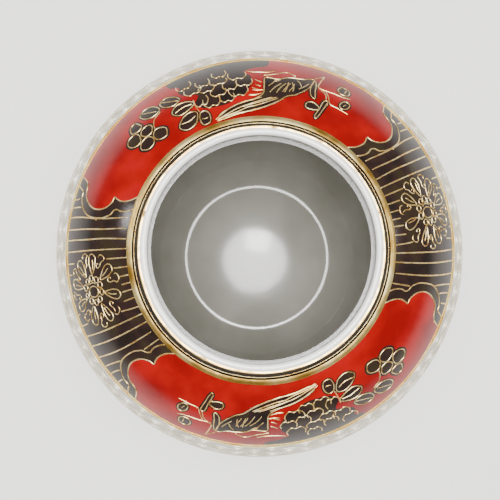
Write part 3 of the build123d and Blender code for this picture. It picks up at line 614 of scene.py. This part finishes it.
sleeve_outline = np.vstack([
    neck_line(np.linspace(SLEEVE_TOP, BAND_HIGH, 14)),
    neck_line([BAND_HIGH, BAND_LOW], 0.5),
    neck_line(np.linspace(BAND_LOW, edge_z, 4)),
    run_of(SHOULDER_LEAN, SHOULDER_LEAN, PORCELAIN_DEPTH, 1),
    [(NECK_OUTER + 0.02, edge_z + 1.6), (NECK_OUTER + 0.02, SLEEVE_TOP)],
])
turned("neck_collar", sleeve_outline, ROLLED_BRASS, ["neck_sleeve"], 360, trimmed, 35)
band_outline = np.vstack([
    neck_line(np.linspace(BAND_HIGH, edge_z + 0.1, 10), BAND_SUNK),
    run_of(SHOULDER_LEAN + 0.1, COLLAR_LEANS[0], -BAND_SUNK, 3),
    run_of(COLLAR_LEANS[0], SHOULDER_LEAN + 0.1, 0.3, 2),
    neck_line(np.linspace(BAND_LOW, BAND_HIGH, 4), 0.45),
])
turned("neck_black_band", band_outline, BLACK_ENAMEL, ["neck_enamel_band"], 240, None, 45)


def ring_profile(centre, half_width, half_height, tilt, count=12):
    """An oval cross-section of a ring, leaning with the surface under it."""
    swing = np.linspace(0, -2 * pi, count, endpoint=False)
    side, rise = half_width * np.cos(swing), half_height * np.sin(swing)
    lean = radians(tilt)
    r = centre[0] + side * cos(lean) + rise * sin(lean)
    z = centre[1] - side * sin(lean) + rise * cos(lean)
    return np.stack([r, z], -1)


def uneven(amount, seed):
    """A ring's hand-made drift in height and radius, as three slow waves."""
    draw = np.random.default_rng(seed)
    beats, phase = draw.integers(3, 19, 3), draw.uniform(0, 2 * pi, 3)

    def waver(turn, r, z):
        wave = sum(np.sin(beat * turn + start) for beat, start in zip(beats, phase)) * amount / 3
        return wave + 0 * r, wave + 0 * z

    return waver


BEAD_HALF_WIDTH = 0.3
bead_place = neck_line([BAND_HIGH + BEAD_HALF_WIDTH])[0]
bead_outline = ring_profile(bead_place, BEAD_HALF_WIDTH, 0.2, 80)
turned("neck_wire", bead_outline, BRASS_WIRE, ["neck_bead"], 300, uneven(0.05, 3))

# ---- brass rings of the shoulder, and the foot band ----
RING_DOME = 0.12


def ring_between(name, leans, stands_for, seed):
    """A brass ring set in the skin between two leans, with a shallow domed face."""
    lean = np.linspace(leans[0], leans[1], 9)
    swell = RING_DOME * np.sin(np.linspace(0, pi, 9)) - 0.02
    top = np.vstack([run_of(one, one, -rise, 1) for one, rise in zip(lean, swell)])
    under = run_of(leans[1], leans[0], CASING_DEPTH, 4)
    turned(name, np.vstack([top, under]), RING_BRASS, [stands_for], 360, uneven(0.06, seed), 70)


ring_between("shoulder_collar_ring", COLLAR_LEANS, "collar_ring", 5)
ring_between("belly_line_ring", RING_LEANS, "belly_ring", 6)

# The foot band's section: how far out from the foot's edge, and how high.
FOOT_SECTION = ((0.9, FOOT_HEIGHT), (0.75, 4.6), (0.55, 1.4), (0.3, 1.05), (0.02, 1.05), (0.02, FOOT_HEIGHT))
foot_outline = [(foot_r + out, height) for out, height in FOOT_SECTION]
turned("foot_rim", foot_outline, ROLLED_BRASS, ["foot_band"], 300, uneven(0.03, 8), 35)

# ---- belly: pale enamel under rows of nested waves ----
BELLY_DEPTH = 0.18
BELLY_UNDER = 0.55
foot_edge_lean = lean_at_height(FOOT_HEIGHT, BELLY_DEPTH)
belly_outline = np.vstack([
    run_of(RING_LEANS[1] - 0.2, 90, BELLY_DEPTH, 40),
    run_of(90.5, foot_edge_lean, BELLY_DEPTH, 50),
    run_of(lean_at_height(FOOT_HEIGHT, BELLY_UNDER), 90.5, BELLY_UNDER, 20),
    run_of(90, RING_LEANS[1] - 0.2, BELLY_UNDER, 20),
])
turned("belly_ground", belly_outline, BELLY_GLASS_PAINTED_SHADE, ["belly_enamel"], 320, None, 50)

SCALES_AROUND = 36
SCALE_RADIUS = 5.4  # mm, along the outline
ROW_PITCH = 3.3
ARC_RADII = (1.0, 0.76, 0.52, 0.28)
ARC_RINGS = 10
WAVE_WIDTH = 0.3
WAVE_HEIGHT = 0.3
WAVE_SUNK = 0.02
EDGE_GAP = 0.1  # mm left free at the belly ring and the foot band
HALF_ROUND = np.array([(1.0, 0.0), (0.72, 0.75), (0.0, 1.0), (-0.72, 0.75), (-1.0, 0.0)])
WAVE_PIECES = 4
shoulder_run = radians(WIDEST_LEAN - RING_LEANS[1]) * SHOULDER_ARC
belly_run = radians(foot_edge_lean - WIDEST_LEAN) * BELLY_ARC


def lean_along(run):
    """Lean at a length in mm down the outline from the belly ring."""
    above = RING_LEANS[1] + np.degrees(run / SHOULDER_ARC)
    below = WIDEST_LEAN + np.degrees((run - shoulder_run) / BELLY_ARC)
    return np.where(run < shoulder_run, above, below)


def shown_arc(radius):
    """A wave arc's angles that the rows in front leave in sight: those outside the circles of
    the two scales half a pitch aside and one row down, and of the scale two rows down."""
    angle = np.linspace(0, pi, 361)
    x, y = radius * np.cos(angle), radius * np.sin(angle)
    drop = ROW_PITCH / SCALE_RADIUS
    clear = np.hypot(x, y + 2 * drop) > 1.0
    for side in (1, -1):
        clear &= np.hypot(x - side, y + drop) > 1.0
    shown = angle[clear]
    return (shown.min(), shown.max()) if len(shown) > 8 else None


def wave_rows(name, rows, seed):
    """Every wave arc of some rows, each arc a half-round bar of a few rings: azimuth and run
    follow the arc's circle, squeezed sideways with the vase's girth."""
    draw = np.random.default_rng(seed)
    pitch = 360 / SCALES_AROUND
    corners, faces, start = [], [], 0
    sides = len(HALF_ROUND)
    for row in rows:
        centre_run = SCALE_RADIUS * 0.9 + row * ROW_PITCH
        for radius in ARC_RADII:
            span = shown_arc(radius)
            if span is None:
                continue
            angle = np.linspace(span[0], span[1], ARC_RINGS)[None, :]
            columns = np.arange(SCALES_AROUND)[:, None]
            wobble = draw.normal(0, 0.012, (SCALES_AROUND, 1))
            x = (radius + wobble) * np.cos(angle)
            y = (radius + wobble) * np.sin(angle)
            azimuth = (columns + 0.5 * (row % 2)) * pitch + x * pitch / 2
            run = np.clip(centre_run - y * SCALE_RADIUS, EDGE_GAP, shoulder_run + belly_run - EDGE_GAP)
            lean = lean_along(run)
            place = skin(azimuth, lean, WAVE_SUNK)
            normal = outward(azimuth, lean)
            ahead = np.gradient(place, axis=1)
            ahead /= np.linalg.norm(ahead, axis=2)[:, :, None] + 1e-9
            across = np.cross(normal, ahead)
            half = WAVE_WIDTH / 2 * (1 + draw.normal(0, 0.06, (SCALES_AROUND, ARC_RINGS)))
            ring = place[:, :, None] + across[:, :, None] * (half[:, :, None] * HALF_ROUND[:, 0])[..., None]
            ring = ring - normal[:, :, None] * (WAVE_HEIGHT * (1 - HALF_ROUND[:, 1]))[None, None, :, None]
            ring = ring.reshape(-1, 3)
            one = np.array([face for face in tube_faces(ARC_RINGS, sides, False) if len(face) == 4])
            shift = (np.arange(SCALES_AROUND) * ARC_RINGS * sides)[:, None, None] + start
            faces.append((one[None] + shift).reshape(-1, 4))
            caps = np.arange(sides)
            for first in (caps[::-1], caps + (ARC_RINGS - 1) * sides):
                faces.append((first[None] + shift[:, 0]).reshape(-1, sides))
            corners.append(ring)
            start += len(ring)
    flat = [face for block in faces for face in block.tolist()]
    return mesh_piece(name, np.vstack(corners), flat, PALE_WIRE_PAINTED_REFLECTION, (), 60)


row_count = int((shoulder_run + belly_run) / ROW_PITCH) + 1
for part in range(WAVE_PIECES):
    rows = range(part * row_count // WAVE_PIECES, (part + 1) * row_count // WAVE_PIECES)
    wave_rows(f"belly_waves_{part + 1}", rows, 40 + part)


# ---- the shoulder's ornament: every route is a list of (azimuth, lean) points ----
# The panels' cusped ends, at the end nearer azimuth 0 of the back panel.
INNER_OUTLINE = (
    [(37.6, 23.9), (34.2, 26.8), (32.8, 29.6), (32.9, 32.0), (33.8, 33.5)],
    [
        (33.8, 33.5), (31.3, 34.0), (28.9, 35.9), (27.7, 38.8), (27.6, 42), (28.7, 45.2), (31, 48.4),
        (34.8, 50),
    ],
    [(34.8, 50), (35.5, 52.2), (36.6, 57.4)],
)
OUTER_OUTLINE = (
    [(31.9, 23.9), (29.6, 26.6), (28.9, 29.0), (29.4, 31.8)],
    [(29.4, 31.8), (27, 32.8)],
    [(27, 32.8), (25.2, 35.8), (24.6, 39.8), (24.8, 43.8), (26.2, 47), (29.6, 50.9)],
    [(29.6, 50.9), (32, 51.4)],
    [(32, 51.4), (32.6, 53.4), (33.8, 57.4)],
)

# A twig with two round buds, a knobbed stem and two narrow leaves.
TWIG = {
    "name": "branch",
    "wires": (
        [(43.7, 36.5), (48, 36.6), (51.4, 36.9), (52.6, 39.4), (54.6, 42.6)],
        [(53.0, 37.6), (54.0, 40.4), (56.6, 42.6)],
        [(45.7, 44.6), (48.2, 43.4), (51.5, 42.9), (57.0, 42.8), (57.0, 46.6), (56.2, 51.2)],
        [(59.2, 47.4), (57.6, 49), (56.4, 51.2)],
        [(48.5, 45.4), (48.4, 48.4)],
        [(46.9, 38.6), (46.2, 40.6)],
    ),
    "cells": (
        [(46.6, 37.4), (47.9, 37.9), (48.0, 40), (46.6, 42), (45.2, 41.4), (45.1, 39.2)],
        [(47.6, 45), (50.0, 44.8), (50.9, 46.9), (49.6, 49.2), (47.6, 48.7), (47.0, 46.8)],
        [(52.4, 37.4), (52.9, 32.6), (53.6, 29.2), (54.2, 28), (54.8, 28.8), (54.2, 32.4), (53.4, 37.4)],
        [(54.2, 32.5), (56.4, 31.3), (59.0, 31.2), (59.6, 32.5), (58.7, 34), (56.8, 34.4)],
        [(57.1, 36.4), (58.4, 37), (59.4, 39.6), (59.5, 43), (58.8, 46.2), (58.0, 43.6), (57.7, 40)],
    ),
    "grounds": (),
}

# A crested bird seen from the side, with fanned wing feathers and a long swept-back tail.
BIRD = {
    "name": "bird",
    "wires": (
        [(62.6, 40.4), (63.4, 42.2), (64.6, 43.5)],
        [(65.0, 41.4), (65.6, 38.8), (66.6, 36.6)],
        [(66.4, 41.2), (67.6, 38.8), (68.8, 36.0)],
        [(67.8, 40.8), (69.6, 38.2), (71.0, 35.2)],
        [(69.4, 40.4), (71.6, 38.0), (73.4, 35.2)],
        [(70.4, 33.2), (75.8, 31.0), (84.0, 29.0)],
        [(76.0, 34.8), (78.6, 34.0), (81.2, 34.2)],
        [(75.4, 36.2), (77.6, 36.4), (79.8, 37.6)],
        [(65.1, 45.8), (68.4, 47.4), (71.0, 45.8), (75.8, 44.2)],
        [(71.8, 47.4), (74.4, 46.4), (78.8, 46.6), (81.3, 47.6)],
    ),
    "cells": (
        [
            (59.3, 46.6), (59.8, 41.6), (61.4, 38.6), (64.4, 35.4), (66.9, 34.2), (70.6, 31),
            (74.8, 28.8), (79.8, 27.3), (87, 26.2), (93.6, 25.7), (94.2, 27.0), (87, 30.0), (79, 32.2),
            (75.9, 34.4), (75.4, 39), (75, 43), (70.8, 42.4), (67.6, 44.2), (62.6, 45),
        ],
    ),
    "grounds": (),
}

# A full blossom over a plain dark mound: its lines are the rims of PETALS.
PEONY = {
    "name": "peony",
    "cells": (
        [(91.4, 38.6), (93.6, 36.2), (96.3, 38.2), (95.2, 41), (92.6, 41.2)],
        [(86.2, 39.6), (88.4, 37.4), (91.0, 39), (90.4, 42), (87.4, 42.4)],
    ),
    "grounds": (
        [
            (80.2, 44.6), (79.2, 41), (81.0, 37), (83.0, 34.2), (86.0, 33.8), (89.0, 31.6), (93.8, 31.4),
            (98.4, 32.6), (100.6, 36), (98.6, 39.8), (102.6, 42.4), (104.2, 45.4), (103.2, 48.6),
            (105.6, 51), (105.4, 58), (90.0, 60), (75.0, 58), (74.6, 51), (79.0, 49.4), (82.0, 47),
        ],
    ),
}

# Five pointed leaves round the blossom's stem.
LEAVES = {
    "name": "leaf",
    "wires": (
        [(100.8, 38.4), (100.9, 34.6), (100.6, 31.8)],
        [(98.0, 28.4), (99.4, 28.2), (100.8, 28.8)],
        [(102.4, 31.2), (105.4, 30.2), (109.2, 30.8)],
        [(101.6, 36.8), (105.2, 37.2), (108.9, 36.6)],
        [(105.4, 41.8), (108.2, 43.6), (110.6, 46.0)],
        [(113.4, 43.2), (115.6, 45.2), (117.6, 47.6)],
    ),
    "cells": (
        [(97.3, 29.2), (98.2, 26.2), (101.0, 26.0), (101.6, 28.4), (100.2, 31.4), (98.4, 31.4)],
        [(101.5, 32.2), (103.8, 28), (108.2, 27.4), (110.2, 29.6), (108, 32.2), (104, 33.6)],
        [(101.0, 36.9), (104, 34.8), (107.6, 34.6), (109.6, 37), (107.2, 39.6), (103.6, 39.2)],
        [(104.8, 42), (107.4, 40.6), (110.4, 42.2), (111.2, 45.4), (109.4, 46.8), (106.6, 45.4)],
        [(112.2, 43), (115.4, 42), (118.0, 44), (118.6, 47), (116.4, 48.6), (113.6, 47.2)],
    ),
    "grounds": (),
}

# A small open flower of five petals on a bent stem.
FLOWER = {
    "name": "flower",
    "wires": ([(112.2, 41.8), (115.2, 40.6), (117.0, 38.4), (117.6, 36.4)],),
    "cells": (
        [(114.4, 33.2), (116.0, 30.6), (119.4, 31.6), (119.8, 34.2), (117.8, 35.9), (115.6, 35)],
        [(120.4, 33.4), (121.6, 31.8), (124.6, 31.6), (126.4, 34), (124.6, 36), (121.6, 36)],
        [(117.8, 38.4), (119.4, 36.2), (121.8, 36.6), (122.6, 39), (120.6, 40.6), (118.4, 40)],
        [(123.2, 39.2), (124.8, 36.6), (127.6, 37.4), (128.4, 40), (126.4, 42), (123.8, 41.4)],
        [(120.4, 42), (122.6, 41.4), (124.4, 43), (123.2, 46), (121.4, 46), (120.6, 44)],
    ),
    "grounds": (),
}
MOTIFS = (TWIG, BIRD, PEONY, LEAVES, FLOWER)

# The bird's finer lines: tail streamers, fanned feathers, wing bars and a fringe below.
BIRD_DETAIL = (
    [(66.9, 34.2), (70.8, 30.6), (74.8, 28.6), (79.8, 27.1), (86, 26.6), (91, 25.8), (95.6, 25.3)],
    [(69.8, 32.9), (74.8, 30.4), (78.8, 29.1), (82, 28.6), (86, 27.3), (90.9, 26.5), (95.7, 25.7)],
    [(72, 33), (76, 31.6), (81, 29.9), (86, 28.6), (90.9, 27.1), (94.9, 26.0)],
    [(76, 32.9), (79, 31.9), (83.5, 31.1), (88.4, 29.6), (92.4, 27.8), (95.9, 26.2)],
    [(66.0, 41.8), (65.2, 39.2), (65.2, 37.0)],
    [(67.2, 41.6), (67.4, 38.8), (68.0, 36.2)],
    [(60.4, 43.4), (61.6, 41.0), (63.4, 38.8)],
    [(71.6, 42.2), (72.4, 40.2), (74.0, 38.4)],
    [(69.6, 43.2), (70.4, 41.8), (72.0, 41.0)],
)
# The blossom's petals, row under row: (azimuth, lean of the rim, half-width, depth).
PETALS = (
    (89.2, 32.2, 2.3, 3.8),
    (94.6, 31.8, 2.6, 4.2),
    (84.2, 34.4, 2.6, 4.0),
    (91.8, 35.8, 2.4, 3.8),
    (98.2, 34.2, 2.4, 4.4),
    (82.4, 38.8, 2.4, 4.2),
    (87.4, 38.2, 2.5, 3.8),
    (94.8, 39.4, 2.6, 3.6),
    (100.0, 41.0, 2.4, 3.8),
    (90.4, 41.8, 2.2, 3.6),
    (85.2, 43.0, 2.5, 4.2),
    (95.6, 43.8, 2.4, 4.0),
    (101.4, 45.6, 2.4, 3.8),
    (90.2, 46.0, 2.3, 3.8),
)
# Short lines on the red between the bird and the blossom.
DASHES = (
    [(77.4, 34.1), (79.4, 33.7), (81.4, 34.0)],
    [(76.8, 36.0), (78.4, 36.1), (79.8, 36.6)],
    [(76.4, 38.2), (77.6, 38.6), (78.6, 39.4)],
    [(76.2, 40.4), (77.4, 41.0), (78.6, 42.0)],
)

# Stripes of the dark grounds, from the collar ring to the belly ring, by azimuth from the
# roundel's meridian of the left ground; the right ground's are their mirror.
STRIPES = (
    [(-27.1, 25.8), (-25.3, 33.2), (-24.4, 39.8), (-24.1, 47.4), (-23.4, 56.5)],
    [(-22.5, 25.8), (-21.1, 34.7), (-20.6, 42.3), (-19.9, 52.5), (-19.7, 56.5)],
    [(-18.1, 25), (-17.7, 34.7), (-17.1, 42.3), (-16.5, 56.5)],
    [(-14, 24.7), (-13.5, 40), (-13, 56.5)],
    [(14.7, 24.7), (14.2, 34), (13.6, 45), (12.7, 56.5)],
    [(18.6, 24.7), (17.6, 40), (16, 56.5)],
    [(23.2, 25.4), (21.9, 40), (19.8, 56.5)],
    [(27.6, 24.8), (27.2, 29), (26.9, 32.4)],
    [(24.8, 44.6), (23.8, 50), (23.1, 56.5)],
    [(26.9, 48.4), (26.2, 52), (25.8, 56.5)],
    [(29.5, 51.4), (29.3, 54), (29.2, 56.5)],
    [(-27.2, 49.4), (-26.8, 53), (-26.3, 56.5)],
    [(-29.6, 52), (-29.2, 54), (-28.8, 56.5)],
    [(-24.4, 39.3), (-23.7, 39.6)],
    [(-10.2, 24.7), (-10.2, 29), (-10.2, 33.4)],
    [(-6.4, 24.7), (-6.4, 27), (-6.4, 30.4)],
    [(-2.8, 24.7), (-2.8, 27), (-2.8, 29.2)],
    [(0.5, 24.7), (0.5, 26), (0.5, 28.4)],
    [(3.5, 24.7), (3.5, 27), (3.5, 29.2)],
    [(7.1, 24.7), (7.1, 27), (7.1, 29.6)],
    [(11.3, 24.7), (10.9, 28), (10.2, 32.2)],
    [(-9.5, 50.6), (-9.5, 53), (-9.5, 56.5)],
    [(-6.2, 53.2), (-6.2, 55), (-6.2, 56.5)],
    [(-3, 55.2), (-3, 56.5)],
    [(0.1, 55.4), (0.1, 56.5)],
    [(3.1, 54.8), (3.1, 56.5)],
    [(5.9, 53.7), (5.9, 56.5)],
    [(9.4, 50.7), (9.4, 53), (9.4, 56.5)],
)

# Roundel, in mm on the plane that touches the shoulder at its centre.
ROUNDEL_LEAN = 41.5
ROUNDEL_EDGE = 9.9
HOOK = ((9.6, -1.1), (8.6, -0.3), (7.4, -0.2), (6.6, 0.45), (7.1, 1.1), (7.9, 0.9), (7.6, 0.4))
PETAL = ((4.5, 0), (6.0, 0.85), (8.0, 1.4), (9.5, 1.15), (10.1, 0), (9.5, -1.15), (8.0, -1.4), (6.0, -0.85))
VEIN = ((5.4, 0.1), (7.0, -0.08), (8.8, 0.1))
LOBE = ((9.3, -1.15), (10.2, -1.0), (10.6, 0), (10.2, 1.0), (9.3, 1.15))
CURL_ANGLES = (101, 47, 3, -44, -88, -130, -171, 145)
FIELD_LEANS = (COLLAR_LEANS[1] - 0.1, RING_LEANS[0] + 0.1)
HALOS = {"branch": 0.6, "bird": 0.4, "peony": 0.4, "leaf": 0.5, "flower": 0.75}  # mm of dark edging
LOOP_SPACING = 0.6  # mm between the points of a dark cell's edge
RED_SPACING = 0.9  # mm between the points inside the red


def mirrored(chain, turn, hand):
    """A chain of routes carried to the panel end on one hand of a roundel's meridian."""
    return [[(turn + hand * azimuth, lean) for azimuth, lean in route] for route in chain]


def shifted(route, turn, drop):
    """A route turned round the vase and let down the shoulder."""
    return [(azimuth + turn, lean + drop) for azimuth, lean in route]


def edge_of(chain):
    """One smooth line down a chain of routes, from the collar ring to the belly ring."""
    line = np.vstack([flowing(route) for route in chain])
    steps = np.linalg.norm(np.diff(line, axis=0), axis=1)
    line = line[np.concatenate([[True], steps > 1e-4])]
    top, bottom = FIELD_LEANS
    ends = [
        (np.interp(top, line[:12, 1], line[:12, 0]), top),
        (np.interp(bottom, line[-12:, 1], line[-12:, 0]), bottom),
    ]
    inner_part = line[(line[:, 1] > top + 0.3) & (line[:, 1] < bottom - 0.3)]
    return np.vstack([ends[0], inner_part, ends[1]])


def level(start, end, lean):
    """Points along one lean from one azimuth to another, about 0.7 mm apart."""
    reach = abs(end - start) * radians(1) * skin(0, lean)[0]
    azimuth = np.linspace(start, end, int(reach / 0.7) + 2)[1:-1]
    return np.stack([azimuth, np.full(len(azimuth), lean)], -1)


def between(first, second):
    """The closed boundary of the field between two edges, each run from top to bottom."""
    low = level(first[-1, 0], second[-1, 0], FIELD_LEANS[1])
    high = level(second[0, 0], first[0, 0], FIELD_LEANS[0])
    return np.vstack([first, low, second[::-1], high])


def grown(loop, amount):
    """A closed loop in (azimuth, lean) moved outwards by an amount in mm along its normals."""
    scale = np.array([radians(1) * skin(0, loop[:, 1].mean())[0], ARC_PER_DEGREE])
    flat = loop * scale
    ahead = np.roll(flat, -1, axis=0) - np.roll(flat, 1, axis=0)
    ahead /= np.linalg.norm(ahead, axis=1)[:, None] + 1e-9
    around = np.sum(flat[:, 0] * np.roll(flat[:, 1], -1) - np.roll(flat[:, 0], -1) * flat[:, 1])
    side = np.sign(around)
    return (flat + amount * side * np.stack([ahead[:, 1], -ahead[:, 0]], -1)) / scale


def petal(azimuth, lean, half, depth):
    """A petal's rim: two shallow lobes over the top, open below."""
    shape = ((-1, 1.1), (-1.12, 0.5), (-0.55, 0), (0, 0.16), (0.55, 0), (1.12, 0.5), (1, 1.1))
    return [(azimuth + half * x, lean + depth * y) for x, y in shape]


PETAL_SPREAD = (0.4, 0.4, 0.25, 0.4)


def motif_lines(motif):
    """A picture's lines as (route, closed). The blossom's are its petals' rims, set unevenly."""
    if motif is PEONY:
        vary = np.random.default_rng(31)
        spread = [vary.normal(0, PETAL_SPREAD) for _ in PETALS]
        return [(petal(*(one + drift)), False) for one, drift in zip(PETALS, spread)]
    lines = [(route, False) for route in motif["wires"]]
    lines += [(route, True) for route in motif["cells"]]
    if motif is BIRD:
        lines += [(route, False) for route in (*BIRD_DETAIL, *DASHES)]
    return lines


def fields(sheet, materials):
    """Slabs of one sheet: materials maps a name to (loop indices, material, slot, node)."""
    corners, faces, owner = sheet
    for name, (owners, material, slot, node) in materials.items():
        chosen = faces[np.isin(owner, list(owners))]
        slab(name, corners, chosen, material, [node])


ENDS = {}
for turn in (0, 180):
    for hand in (1, -1):
        ENDS[turn, hand] = {
            "inner": edge_of(mirrored(INNER_OUTLINE, turn, hand)),
            "outer": edge_of(mirrored(OUTER_OUTLINE, turn, hand)),
        }

# ---- red panels with their pictures ----
# Each panel's side, its picture's turn and drop, and its two ends: the meridian that the end is
# mirrored about, the hand, and the degrees that carry it past a full turn.
PANELS = (
    ("back", 0.0, 0.0, ((0, 1, 0), (180, -1, 0))),
    ("front", FRONT_TURN, FRONT_DROP, ((180, 1, 0), (0, -1, 360))),
)
for side, turn, drop, ends in PANELS:
    edges = {}
    for outline in ("inner", "outer"):
        edges[outline] = [ENDS[end[:2]][outline] + [end[2], 0] for end in ends]
        wires(
            f"{side}_{outline}_border_line",
            [(line[::4], False) for line in edges[outline]],
            [f"{side}_{outline}_outline"],
            20 + len(outline) + int(turn),
        )
    for index, end in enumerate(ends):
        pair = (edges["outer"][index], edges["inner"][index])
        corners, faces, _ = enamel_sheet(between(*pair), [])
        place = "first" if index == 0 else "last"
        slab(
            f"{side}_border_band_{place}",
            corners,
            faces,
            DARK_ENAMEL,
            [f"{side}_border_enamel"],
        )
    loops, owners = [], {}
    for motif in MOTIFS:
        indices = []
        for cell in motif["cells"]:
            indices.append(len(loops))
            edge = flowing(shifted(cell, turn, drop), True, LOOP_SPACING)
            loops.append(grown(edge, HALOS[motif["name"]]))
        for ground in motif["grounds"]:
            indices.append(len(loops))
            loops.append(flowing(shifted(ground, turn, drop), True, LOOP_SPACING))
        name = f"{side}_{motif['name']}_dark"
        owners[name] = (indices, DARK_ENAMEL, "dark_enamel", f"{side}_{motif['name']}_enamel")
    owners[f"{side}_red_ground"] = ([-1], RED_ENAMEL, "red_enamel", f"{side}_red_enamel")
    red_field = between(edges["inner"][0], edges["inner"][1])
    fields(enamel_sheet(red_field, loops, RED_SPACING), owners)
    for motif in MOTIFS:
        lines = [(shifted(route, turn, drop), closed) for route, closed in motif_lines(motif)]
        node = f"{side}_{motif['name']}_wires"
        seed = 60 + int(turn) + len(lines)
        wires(f"{side}_{motif['name']}_lines", lines, [node], seed, MOTIF_LINE)

# ---- dark grounds with stripes and roundels ----
def polar(radius, angle):
    """A point on the roundel's plane."""
    return (radius * cos(radians(angle)), radius * sin(radians(angle)))


def roundel_routes(draw):
    """A roundel's lines in mm: heart and crescent, ring of buds, closed petals and curled
    petals by turns round it, and a small lobe outside each curled one."""
    swing = np.linspace(0, 2 * pi, 12, endpoint=False)
    routes = [(np.stack([0.35 + 1.55 * np.cos(swing), 2.0 * np.sin(swing)], -1), True)]
    routes.append((np.array([(-1.6, 1.5), (-2.1, 0.6), (-2.15, -0.4), (-1.7, -1.4)]), False))
    for bud in range(10):
        x, y = polar(3.4 + draw.normal(0, 0.08), bud * 36 + draw.normal(0, 2))
        size = 0.85 + draw.normal(0, 0.05)
        ring = np.stack([x + size * np.cos(swing[::2]), y + size * np.sin(swing[::2])], -1)
        routes.append((ring, True))
    for number, angle in enumerate(CURL_ANGLES):
        following = CURL_ANGLES[(number + 1) % len(CURL_ANGLES)]
        between_curls = angle - (angle - following) % 360 / 2
        parts = ((PETAL, between_curls, True), (VEIN, between_curls, False))
        parts += ((HOOK, angle, False), (LOBE, angle, False))
        for shape, at, closed in parts:
            flat = np.array(shape, float)
            flat[:, 1] *= 1 + draw.normal(0, 0.05)
            turn = radians(at + draw.normal(0, 1))
            spun = np.array([[cos(turn), sin(turn)], [-sin(turn), cos(turn)]])
            routes.append((flat @ spun, closed))
    return routes


for side, turn, mirror in (("left", 180, 1), ("right", 0, -1)):
    draw = np.random.default_rng(7 if side == "left" else 8)
    before, after = ENDS[turn, -1]["outer"], ENDS[turn, 1]["outer"]
    swing = np.linspace(0, 2 * pi, 64, endpoint=False)
    rim = ROUNDEL_EDGE * np.stack([np.cos(swing), np.sin(swing)], -1)
    roundel_loop = from_plane((turn, ROUNDEL_LEAN), rim)
    fields(
        enamel_sheet(between(before, after), [roundel_loop]),
        {
            f"{side}_ground": ([-1], DARK_ENAMEL, "dark_enamel", f"{side}_ground_enamel"),
            f"{side}_roundel_dark": ([0], DARK_ENAMEL, "dark_enamel", f"{side}_roundel_enamel"),
        },
    )
    stripes = [[(turn + mirror * azimuth, lean) for azimuth, lean in route] for route in STRIPES]
    wires(f"{side}_stripes", [(route, False) for route in stripes], [f"{side}_stripe_wires"], 90 + turn)
    roundel = []
    for flat, closed in roundel_routes(draw):
        flat = flat * [mirror, 1]
        roundel.append((from_plane((turn, ROUNDEL_LEAN), flat), closed))
    wires(f"{side}_roundel_lines", roundel, [f"{side}_roundel_wires"], 95 + turn, ROUNDEL_LINE)

# ---- brass casing, shown from the frame with its own finish ----
for node in ("shoulder_casing", "belly_casing"):
    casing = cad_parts[node]
    casing.data.materials.clear()
    casing.data.materials.append(ROLLED_BRASS)

# ---- stage: a plain pale table, soft lights and the camera ----
def table(radius=6.0, sides=96):
    """The table: a flat matt round, in metres."""
    paint = bpy.data.materials.new("pale table")
    paint.use_nodes = True
    shader = paint.node_tree.nodes["Principled BSDF"]
    shader.inputs["Base Color"].default_value = linear("#F6F5F2")
    shader.inputs["Roughness"].default_value = 0.6
    swing = np.linspace(0, 2 * pi, sides, endpoint=False)
    mesh = bpy.data.meshes.new("table_top")
    ring = [(radius * cos(one), radius * sin(one), 0.0) for one in swing]
    mesh.from_pydata(ring, [], [tuple(range(sides))])
    mesh.materials.append(paint)
    top = bpy.data.objects.new("table_top", mesh)
    bpy.context.scene.collection.objects.link(top)


LIGHT_AIM = Vector((0, 0, 0.09))


def soft_light(name, place, energy, size):
    """A square area light that faces the vase."""
    data = bpy.data.lights.new(name, "AREA")
    data.energy = energy
    data.size = size
    lamp = bpy.data.objects.new(name, data)
    lamp.location = place
    lamp.rotation_euler = (LIGHT_AIM - Vector(place)).to_track_quat("-Z", "Y").to_euler()
    bpy.context.scene.collection.objects.link(lamp)


table()
soft_light("ceiling_panel", (0.0, 0.0, 1.4), 46, 0.8)
soft_light("lamp_overhead", (0.05, 0.12, 1.1), 1.6, 0.14)
soft_light("lamp_left", (-1.0, 0.55, 0.75), 2.2, 0.16)
soft_light("lamp_right", (1.0, -0.1, 0.8), 1.6, 0.14)
world = bpy.data.worlds.new("quiet studio")
world.use_nodes = True
world.node_tree.nodes["Background"].inputs["Color"].default_value = linear("#B9B4AC")
world.node_tree.nodes["Background"].inputs["Strength"].default_value = 0.5
bpy.context.scene.world = world

# The camera looks almost straight down, in metres from the foot's centre.
CAMERA_TURN = radians(-13.4)
CAMERA_ASIDE = np.array((-0.0035, -0.0056))
CAMERA_HEIGHT = 0.346
CAMERA_SLANT = np.array((0.0023, 0.0255))  # metres aside for each metre down
view_turn = np.array([[cos(CAMERA_TURN), -sin(CAMERA_TURN)], [sin(CAMERA_TURN), cos(CAMERA_TURN)]])
camera_place = Vector((*(view_turn @ CAMERA_ASIDE), CAMERA_HEIGHT))
camera_forward = Vector((*(view_turn @ CAMERA_SLANT), -1.0)).normalized()
camera_up = Vector((*(view_turn @ (0.0, 1.0)), 0.0))
camera_right = camera_forward.cross(camera_up).normalized()
camera_up = camera_right.cross(camera_forward)
camera_data = bpy.data.cameras.new("camera")
camera_data.lens = 59.04
camera_data.sensor_width = 36.0
camera_data.clip_start = 0.01
camera = bpy.data.objects.new("camera", camera_data)
turned_axes = Matrix((camera_right, camera_up, -camera_forward)).transposed()
camera.matrix_world = Matrix.Translation(camera_place) @ turned_axes.to_4x4()
bpy.context.scene.collection.objects.link(camera)
bpy.context.scene.camera = camera
